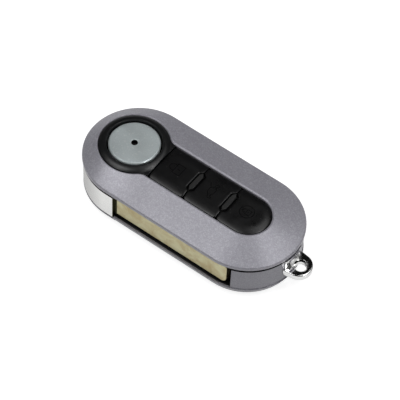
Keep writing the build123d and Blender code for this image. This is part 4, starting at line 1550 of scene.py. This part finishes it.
    def cap(self, field: Array) -> Skin:
        """Body of a push button: walls, an edge that is a quarter ellipse, and a pillow for its top.

        The last ring of the edge becomes the border of the grid, and each row inside it is divided
        evenly again.

        Args:
            field: Grid over the button, which is moved to its top.

        Returns:
            The closed surface.
        """
        rows, columns = field.shape[:2]
        number = np.arange(rows * columns).reshape(rows, columns)
        border = np.concatenate([number[0, :-1], number[:-1, -1], number[-1, :0:-1], number[:0:-1, 0]])
        places = field.reshape(-1, 2)
        outline = places[border]
        inwards, rings = mitres(outline), [lift(outline, self.button_low)]
        for angle in np.linspace(0, math.pi / 2, self.edge_steps + 1):
            moved = outline + (self.edge_width * (1 - math.cos(angle)) + self.edge_start) * inwards
            rings.append(lift(moved, self.top_height(*moved.T) - self.edge_height * (1 - math.sin(angle))))
        places[border] = rings[-1][:, :2]
        share = np.linspace(0, 1, columns)[1:-1, None]
        field[1:-1, 1:-1] = field[1:-1, :1] + share * (field[1:-1, -1:] - field[1:-1, :1])
        top = lift(places, self.top_height(*places.T)).reshape(rows, columns, 3)
        return Skin().grid(np.stack(rings), close_columns=True).cap(rings[0]).grid(top)

    def button(self, name: str, left: float, right: float | None,
               dividers: tuple[float | None, float | None], switch_x: float) -> Piece:
        """Push button with a stem down to its switch.

        Args:
            name: Name of its CAD node.
            left: Smallest x.
            right: Largest x, or None for the round end.
            dividers: Divider bar beside the left and the right side, or None.
            switch_x: Triple of the stem.

        Returns:
            The button.
        """
        body = self.cap(self.footprint(left, right, dividers))
        stem = circle(self.stem_radius, (switch_x, 0), 32)
        ends = np.stack([lift(stem, z) for z in (node_box(name)[0][2], self.button_low + self.joint)])
        piece = assemble(name + "_cap", body, Skin().tube(ends))
        settle_normals(piece)
        return piece

    @property
    def bars_zone(self) -> Zone:
        """Tops of the two divider bars."""
        wide, tall = self.bar_half_width + self.bar_margin, self.bar_half_length + self.bar_margin
        low = (self.divider_1 - wide, -tall, self.top_z - self.bar_depth)
        return Zone(self.bar_colour, low, high=(self.divider_2 + wide, tall, FAR))

    def sign(self, name: str, symbol: Symbol, at: Triple) -> Piece:
        """Symbol of thin raised lines on a button's level top, with its own up towards the pivot.

        Args:
            name: Name of the piece.
            symbol: Which symbol.
            at: Its middle along X and Y, and its scale.

        Returns:
            The piece.
        """
        x, y, scale = at
        low, high = self.top_z - self.sign_depth, self.top_z + self.sign_height
        skins = []
        for drawn in symbol_lines(symbol):
            right, up = scale * drawn.path.T
            placed = Line(np.stack([x - up, y + right], -1), drawn.closed)
            skins.append(stroke(placed, self.sign_width, low, high))
        return assemble(name, *skins)

    def build(self, palette: Palette) -> None:
        """Makes and dresses the bezel, the three buttons and their symbols.

        Args:
            palette: The finishes.
        """
        place(self.bezel(), Body.CASE, "soft_black", palette["bezel_black"], self.STANDS_FOR[0])
        first, second, half_split = self.divider_1, self.divider_2, self.split / 2
        plans = (
            (Body.LOCK, self.lock_left, first - half_split, (None, first)),
            (Body.BOOT, first + half_split, second - half_split, (first, second)),
            (Body.UNLOCK, second + half_split, None, (second, None)),
        )
        for name, plan, switch_x in zip(self.STANDS_FOR[1:], plans, self.switch_places):
            body, left, right, dividers = plan
            cap = self.button(name, left, right, dividers, switch_x)
            place(cap, body, "button_black", palette["button_black"], name)
        signs = (
            ("lock_symbol", Body.LOCK, Symbol.CLOSED_PADLOCK, self.lock_sign),
            ("boot_symbol", Body.BOOT, Symbol.BOOT_LID, self.boot_sign),
            ("unlock_symbol", Body.UNLOCK, Symbol.OPEN_PADLOCK, self.unlock_sign),
        )
        for name, body, symbol, at in signs:
            place(self.sign(name, symbol, at), body, "button_black", palette["symbol_black"])


@dataclass
class ReleaseButton:
    """Round metal button: crowned and chamfered disc with a dimple, hollow plug and two key lugs."""

    STANDS_FOR = ("release_button",)

    sink: float = 0.6
    crown: float = 0.15
    chamfer: float = 0.35
    disc: float = 2.2
    dimple_radius: float = 0.95
    dimple_depth: float = 1.4
    plug_radius: float = 6.5
    plug_wall: float = 1.9
    plug_roof: float = 0.9
    lug_reach: float = 8.2
    lug_width: float = 3.0
    lug_top: float = 12.9
    lug_overlap: float = 0.3
    pit_margin: float = 0.05
    pit_top: float = 0.1
    crown_steps: int = 9
    around_steps: int = 128
    edge_steps: int = 5

    @property
    def high_z(self) -> float:
        """Height of the crown's middle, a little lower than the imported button's."""
        return node_box("release_button")[1][2] - self.sink

    def pit_zone(self, low: float) -> Zone:
        """Painted shade in the dimple, from a height that is inside the button up to just under the crown.
        """
        half = self.dimple_radius + self.pit_margin
        return Zone(SHADOW, low=(-half, -half, low), high=(half, half, self.high_z - self.pit_top))

    def lugs(self, bottom: float) -> list[Skin]:
        """Two lugs, opposite each other: each lies between two arcs about the pivot axis.

        Args:
            bottom: Height of their lower faces.

        Returns:
            Two closed surfaces.
        """
        spread = math.asin(self.lug_width / 2 / self.lug_reach)
        skins = []
        for middle in (0, math.pi):
            lug = np.concatenate([
                arc((0, 0), self.lug_reach, middle - spread, middle + spread, 8),
                arc((0, 0), self.plug_radius - self.lug_overlap, middle + spread, middle - spread, 8),
            ])
            skins.append(Skin().tube(np.stack([lift(lug, bottom), lift(lug, self.lug_top)])))
        return skins

    def build(self, palette: Palette) -> None:
        """Turns the button's section about the pivot axis and adds the lugs.

        The section's rows are a corner's distance from the axis, its height and its rounding. The
        crown falls from the middle by the square of the distance to it.

        Args:
            palette: The finishes.
        """
        low, high = node_box("release_button")
        radius, bottom = high[1], low[2]
        rim = radius - self.chamfer
        top = self.high_z - self.crown * (1 - (self.dimple_radius / rim) ** 2)
        disc_low = top - self.disc
        bore = self.plug_radius - self.plug_wall
        places = np.linspace(self.dimple_radius, rim, self.crown_steps + 1)
        heights = top + self.crown * (1 - (places / rim) ** 2)
        pit_low, roof = top - self.dimple_depth, disc_low - self.plug_roof
        profile = [
            (0, pit_low, 0),
            (self.dimple_radius, pit_low, 0.15),
            (self.dimple_radius, heights[0], 0.14),
            *((x, z, 0) for x, z in zip(places[1:-1], heights[1:-1])),
            (rim, top, 0.12),
            (radius, top - self.chamfer, 0.15),
            (radius, disc_low, 0.2),
            (self.plug_radius, disc_low, 0.1),
            (self.plug_radius, bottom, 0.15),
            (bore, bottom, 0.1),
            (bore, roof, 0.1),
            (0, roof, 0),
        ]
        around = circle(1.0, count=self.around_steps)
        corners = np.stack([lift(around * x, z) for x, z, _ in profile])
        rings = rounded_section(corners, [rounding for _, _, rounding in profile], self.edge_steps)
        piece = assemble("release_disc", Skin().grid(rings, close_columns=True), *self.lugs(bottom))
        settle_normals(piece)
        place(piece, Body.RELEASE, "satin_metal", palette["satin_metal"], *self.STANDS_FOR)


@dataclass
class KeyRingLoop:
    """Chrome loop: flange inside the band, root block in its window, ramp and drilled tab."""

    STANDS_FOR = ("key_ring_loop",)

    sizes: CaseSizes
    flange_inset: float = 1.55
    flange_wall: float = 1.2
    flange_over: float = 0.8
    root_proud: float = 0.25
    root_half: float = 3.85
    ramp_half: float = 2.3
    ramp_reach: float = 0.85
    ramp_rise: float = 2.2
    tab_low: float = 6.4
    tab_high: float = 8.6
    tab_half: float = 4.3
    tab_back: float = 16.3
    nose_out: float = 1.8
    nose_radius: float = 4.0
    hole_out: float = 2.5
    hole_radius: float = 1.6
    hole_chamfer: float = 0.45
    roundings: tuple[float, ...] = (0.3, 0.3, 0.1, 0.1, 0.1, 0.1)
    overlap: float = 0.1
    wall_out: float = 16.5
    wall_colour: Colour = (0.40, 0.39, 0.43)
    edging: Edging = Edging(0.1, 2, 50.0)

    def sector(self, inner: float, outer: float, half: float, low: float, high: float) -> Skin:
        """Block between two arcs about the loop end's centre, with flat sides at plus and minus half.

        Args:
            inner: Radius of the inner arc.
            outer: Radius of the outer arc.
            half: Half width.
            low: Height of the lower face.
            high: Height of the upper face.

        Returns:
            The closed surface.
        """
        centre = (self.sizes.loop_x, 0.0)
        wide, narrow = math.asin(half / outer), math.asin(half / inner)
        outline = np.concatenate([
            arc(centre, outer, -wide, wide, 21, whole=True),
            arc(centre, inner, narrow, -narrow, 21, whole=True),
        ])
        return plate(outline, [], low, high)

    @property
    def wall_zone(self) -> Zone:
        """Root beside and behind the ramp, which has the case's paint."""
        low = (-FAR, -self.ramp_half - self.overlap, self.tab_high + self.overlap)
        return Zone(self.wall_colour, low, high=(self.sizes.loop_x + self.wall_out, FAR, FAR))

    def tab(self) -> Skin:
        """Tab: a section carried round between its outline and the ring hole.

        The outline is the nose's arc and its tangents from the two root corners. Each of its points
        is joined to the point of the hole in the same direction.

        Returns:
            The closed surface.
        """
        loop_x, half, high = self.sizes.loop_x, self.tab_half, self.tab_high
        edge_x = loop_x + self.sizes.band_radius
        nose, hole = (edge_x + self.nose_out, 0.0), (edge_x + self.hole_out, 0.0)
        turn = math.asin(half / self.tab_back)
        corner_x = loop_x + self.tab_back * math.cos(turn)
        reach = math.hypot(corner_x - nose[0], half)
        touch = math.atan2(half, corner_x - nose[0]) - math.acos(self.nose_radius / reach)
        first = nose[0] + self.nose_radius * math.cos(touch), self.nose_radius * math.sin(touch)
        outline = np.concatenate([
            arc(nose, self.nose_radius, -touch, touch, 64),
            line(first, (corner_x, half), 14),
            arc((loop_x, 0), self.tab_back, turn, -turn, 26),
            line((corner_x, -half), (first[0], -first[1]), 14),
        ])
        away = outline - hole
        away /= np.linalg.norm(away, axis=1, keepdims=True)
        rim, bore = hole + away * (self.hole_radius + self.hole_chamfer), hole + away * self.hole_radius
        corners = np.stack([
            lift(outline, self.tab_low),
            lift(outline, high),
            lift(rim, high),
            lift(bore, high - self.hole_chamfer),
            lift(bore, self.tab_low + self.hole_chamfer),
            lift(rim, self.tab_low),
        ])
        return Skin().hoop(rounded_section(corners, list(self.roundings), 4))

    def ramp(self, face_x: float) -> Skin:
        """Ramp from the root block down to the tab, cut round the ring hole.

        Args:
            face_x: Triple of the root block's face along X.

        Returns:
            The closed surface.
        """
        hole_x = self.sizes.loop_x + self.sizes.band_radius + self.hole_out
        radius, foot_x = self.hole_radius + self.hole_chamfer, face_x + self.ramp_reach
        turn = math.acos((hole_x - foot_x) / radius)
        back_x, half = face_x - self.overlap, self.ramp_half
        outline = np.concatenate([
            [(back_x, half), (back_x, -half), (foot_x, -half)],
            arc((hole_x, 0.0), radius, math.pi + turn, math.pi - turn, 24),
            [(foot_x, radius * math.sin(turn)), (foot_x, half)],
        ])
        slope = self.ramp_rise / self.ramp_reach
        return plate(outline, [], self.tab_high - self.overlap, self.tab_high, slope)

    def build(self, palette: Palette) -> None:
        """Makes and dresses the loop.

        Args:
            palette: The finishes.
        """
        box_low, box_high = node_box("key_ring_loop")
        low, high = box_low[2] + self.flange_over, box_high[2] - self.flange_over
        face = self.sizes.band_radius + self.root_proud
        flange = self.sizes.band_radius - self.flange_inset
        inner = flange - self.flange_wall
        tab = assemble("loop_tab", self.tab())
        root = assemble(
            "loop_root", self.ramp(self.sizes.loop_x + face),
            self.sector(inner, face, self.root_half, low, high),
            self.sector(inner, flange, box_high[1], box_low[2], box_high[2]),
        )
        self.edging.round_edges(root)
        place(tab, Body.CASE, "chrome_plate", palette["chrome_plate"], *self.STANDS_FOR)
        place(root, Body.CASE, "chrome_plate", palette["loop_plating"])


@dataclass(frozen=True)
class CadNodes:
    """CAD nodes that stay as they are and only get a finish: their slot's, or one of their own."""

    OWN_FINISH = {"blade_head": "head_plating"}

    palette: Palette
    edging: Edging = Edging(0.08, 2, 35.0)

    def build(self, replaced: set[str]) -> None:
        """Dresses every node that no other piece stands for.

        Args:
            replaced: Names of the nodes that are hidden.
        """
        finishes = {part["node"]: part["material_slot"] for part in frame["record"]["subparts"]}
        finishes |= self.OWN_FINISH
        for name, node in frame["nodes"].items():
            if name not in replaced:
                dress(node, self.palette[finishes[name]])
                self.edging.round_edges(node, loose=True)
                LOG.info("%s: CAD node, finish %s", name, finishes[name])


def direction(azimuth: float, elevation: float) -> Vector:
    """Direction in degrees, seen from the key: the azimuth turns from -Y to +X, the elevation to +Z."""
    turn, rise = math.radians(azimuth), math.radians(elevation)
    return Vector((math.sin(turn) * math.cos(rise), -math.cos(turn) * math.cos(rise), math.sin(rise)))


@dataclass(frozen=True)
class PhotoView:
    """Camera as fitted to the photograph, with pixels of the 400 by 400 frame."""

    azimuth: float = 34.008
    elevation: float = 54.0
    roll: float = 3.338
    distance: float = 601.39
    pixels_per_mm: float = 3.4613
    aim_pixel_x: float = 139.582
    aim_pixel_y: float = 177.533
    frame_pixels: int = 400
    sensor_width: float = 36.0
    clip: Range = (0.01, 20.0)
    aim: Triple = (2.0, 0.0, 2.6)

    def build(self) -> None:
        """Places the camera: back along its axis from the aim, shifted so the aim lands on its pixel."""
        back, level = direction(self.azimuth, self.elevation), direction(self.azimuth + 90.0, 0.0)
        upright, roll = back.cross(level), math.radians(self.roll)
        right = level * math.cos(roll) + upright * math.sin(roll)
        up = upright * math.cos(roll) - level * math.sin(roll)
        across = (self.aim_pixel_x - self.frame_pixels / 2) / self.pixels_per_mm
        above = (self.frame_pixels / 2 - self.aim_pixel_y) / self.pixels_per_mm
        spot = Vector(self.aim) + back * self.distance - right * across - up * above
        data = bpy.data.cameras.new("camera")
        data.sensor_width = self.sensor_width
        data.lens = self.pixels_per_mm * self.distance * self.sensor_width / self.frame_pixels
        data.clip_start, data.clip_end = self.clip
        camera = link("camera", data)
        turned = Matrix((right, up, back)).transposed().to_4x4()
        camera.matrix_world = Matrix.Translation(spot * MM) @ turned
        bpy.context.scene.camera = camera


@dataclass(frozen=True)
class Lamp:
    """Soft rectangular lamp: where it stands as seen from the key, its size and its power."""

    name: str
    azimuth: float
    elevation: float
    size: float
    power: float
    distance: float = 0.5
    aim: Triple = (0.022, 0.0, 0.008)

    def build(self) -> None:
        """Places the lamp on a sphere round its aim and turns it to the aim."""
        away = direction(self.azimuth, self.elevation)
        data = bpy.data.lights.new(self.name, "AREA")
        data.size, data.energy = self.size, self.power
        lamp = link(self.name, data)
        lamp.location = Vector(self.aim) + away * self.distance
        lamp.rotation_euler = away.to_track_quat("Z", "Y").to_euler()


@dataclass(frozen=True)
class Studio:
    """Pale floor, plain world and soft lamps.

    The world's ceiling and curtain are what reflections see. The ceiling darkens from the horizon up to
    its height, and the curtain darkens as a direction comes nearer to the front.
    """

    ambient: float = 0.32
    floor_half: float = 3.0
    floor_colour: float = 0.45
    floor_glow: float = 0.80
    mirrored_glow: float = 0.47
    horizon: float = 0.24
    dark: float = 0.004
    ceiling: float = 0.22
    curtain: Range = (0.55, 0.72)
    sheet_near: float = 0.05
    sheet_far: float = 0.30
    front_azimuth: float = 34.0
    lamps: tuple[Lamp, ...] = (
        Lamp("key_lamp", -38.0, 64.0, 0.26, 0.74),
        Lamp("back_lamp", 157.0, 64.0, 0.24, 0.28),
        Lamp("right_lamp", 108.0, 60.0, 0.14, 0.42),
        Lamp("rim_lamp", 80.0, 37.0, 0.08, 0.17),
    )

    def world(self) -> None:
        """World: white to the camera, a grey level for light, and dark surroundings to reflections."""
        world = bpy.data.worlds.new("studio_world")
        bpy.context.scene.world = world
        world.use_nodes = True
        tree = Tree(world.node_tree)
        path = tree.add("LightPath").outputs
        where = tree.add("TexCoord").outputs["Generated"]
        height = tree.add("SeparateXYZ", Vector=where).outputs["Z"]
        ahead = tree.vector_math("DOT_PRODUCT", where, direction(self.front_azimuth, 0.0))["Value"]
        ceiling = tree.remap(height, 0.0, self.ceiling, self.horizon, self.dark)
        curtain = tree.remap(ahead, *self.curtain, 1.0, self.dark)
        mirrored = tree.math("MAXIMUM", path["Is Glossy Ray"], path["Is Transmission Ray"])
        level = tree.add("Mix", A=self.ambient, B=tree.math("MINIMUM", ceiling, curtain), Factor=mirrored)
        seen = tree.add("Mix", A=level.outputs[0], B=1.0, Factor=path["Is Camera Ray"])
        background = tree.add("Background", Color=(1, 1, 1, 1), Strength=seen.outputs[0])
        tree.add("OutputWorld", Surface=background.outputs[0])

    def floor(self) -> None:
        """Floor: a pale sheet that glows a little for the camera, so it reads white.

        Reflections see that glow near the key only; it falls with the distance from the origin.
        """
        half = self.floor_half
        corners = [(-half, -half, 0), (half, -half, 0), (half, half, 0), (-half, half, 0)]
        mesh = bpy.data.meshes.new("floor")
        mesh.from_pydata(corners, [], [(0, 1, 2, 3)])
        material, tree, shader = start_material(
            "floor_paper", Base_Color=(*[self.floor_colour] * 3, 1), Roughness=1.0, Specular_IOR_Level=0.0,
            Emission_Color=(1, 1, 1, 1),
        )
        path = tree.add("LightPath").outputs
        away = tree.vector_math("LENGTH", tree.where())["Value"]
        near = tree.remap(away, self.sheet_near, self.sheet_far, self.mirrored_glow, 0.0)
        mirrored = tree.math("MULTIPLY", path["Is Glossy Ray"], near)
        shown = tree.math("MULTIPLY", path["Is Camera Ray"], self.floor_glow)
        tree.feed(shader.inputs["Emission Strength"], tree.math("MAXIMUM", shown, mirrored))
        mesh.materials.append(material)
        link("floor", mesh)

    def build(self) -> None:
        """Makes the world, the floor and the lamps."""
        self.world()
        self.floor()
        for lamp in self.lamps:
            lamp.build()
        bpy.context.scene.view_settings.view_transform = "Standard"


def main() -> None:
    """Builds every part of the key, the studio and the camera."""
    logging.basicConfig(level=logging.INFO, format="%(name)s: %(message)s")
    sizes = CaseSizes.from_frame()
    outlines = Outlines(sizes)
    keypad, release, loop = Keypad(sizes, outlines), ReleaseButton(), KeyRingLoop(sizes)
    shadows = SideShadows(sizes)
    palette = Palette(shadows, keypad.bars_zone, release.pit_zone(shadows.gap_z), loop.wall_zone)
    parts = (Shells(sizes, outlines), keypad, release, loop)
    for part in parts:
        part.build(palette)
    CadNodes(palette).build({node for part in parts for node in part.STANDS_FOR})
    Studio().build()
    PhotoView().build()


if __name__ == "__main__":
    main()
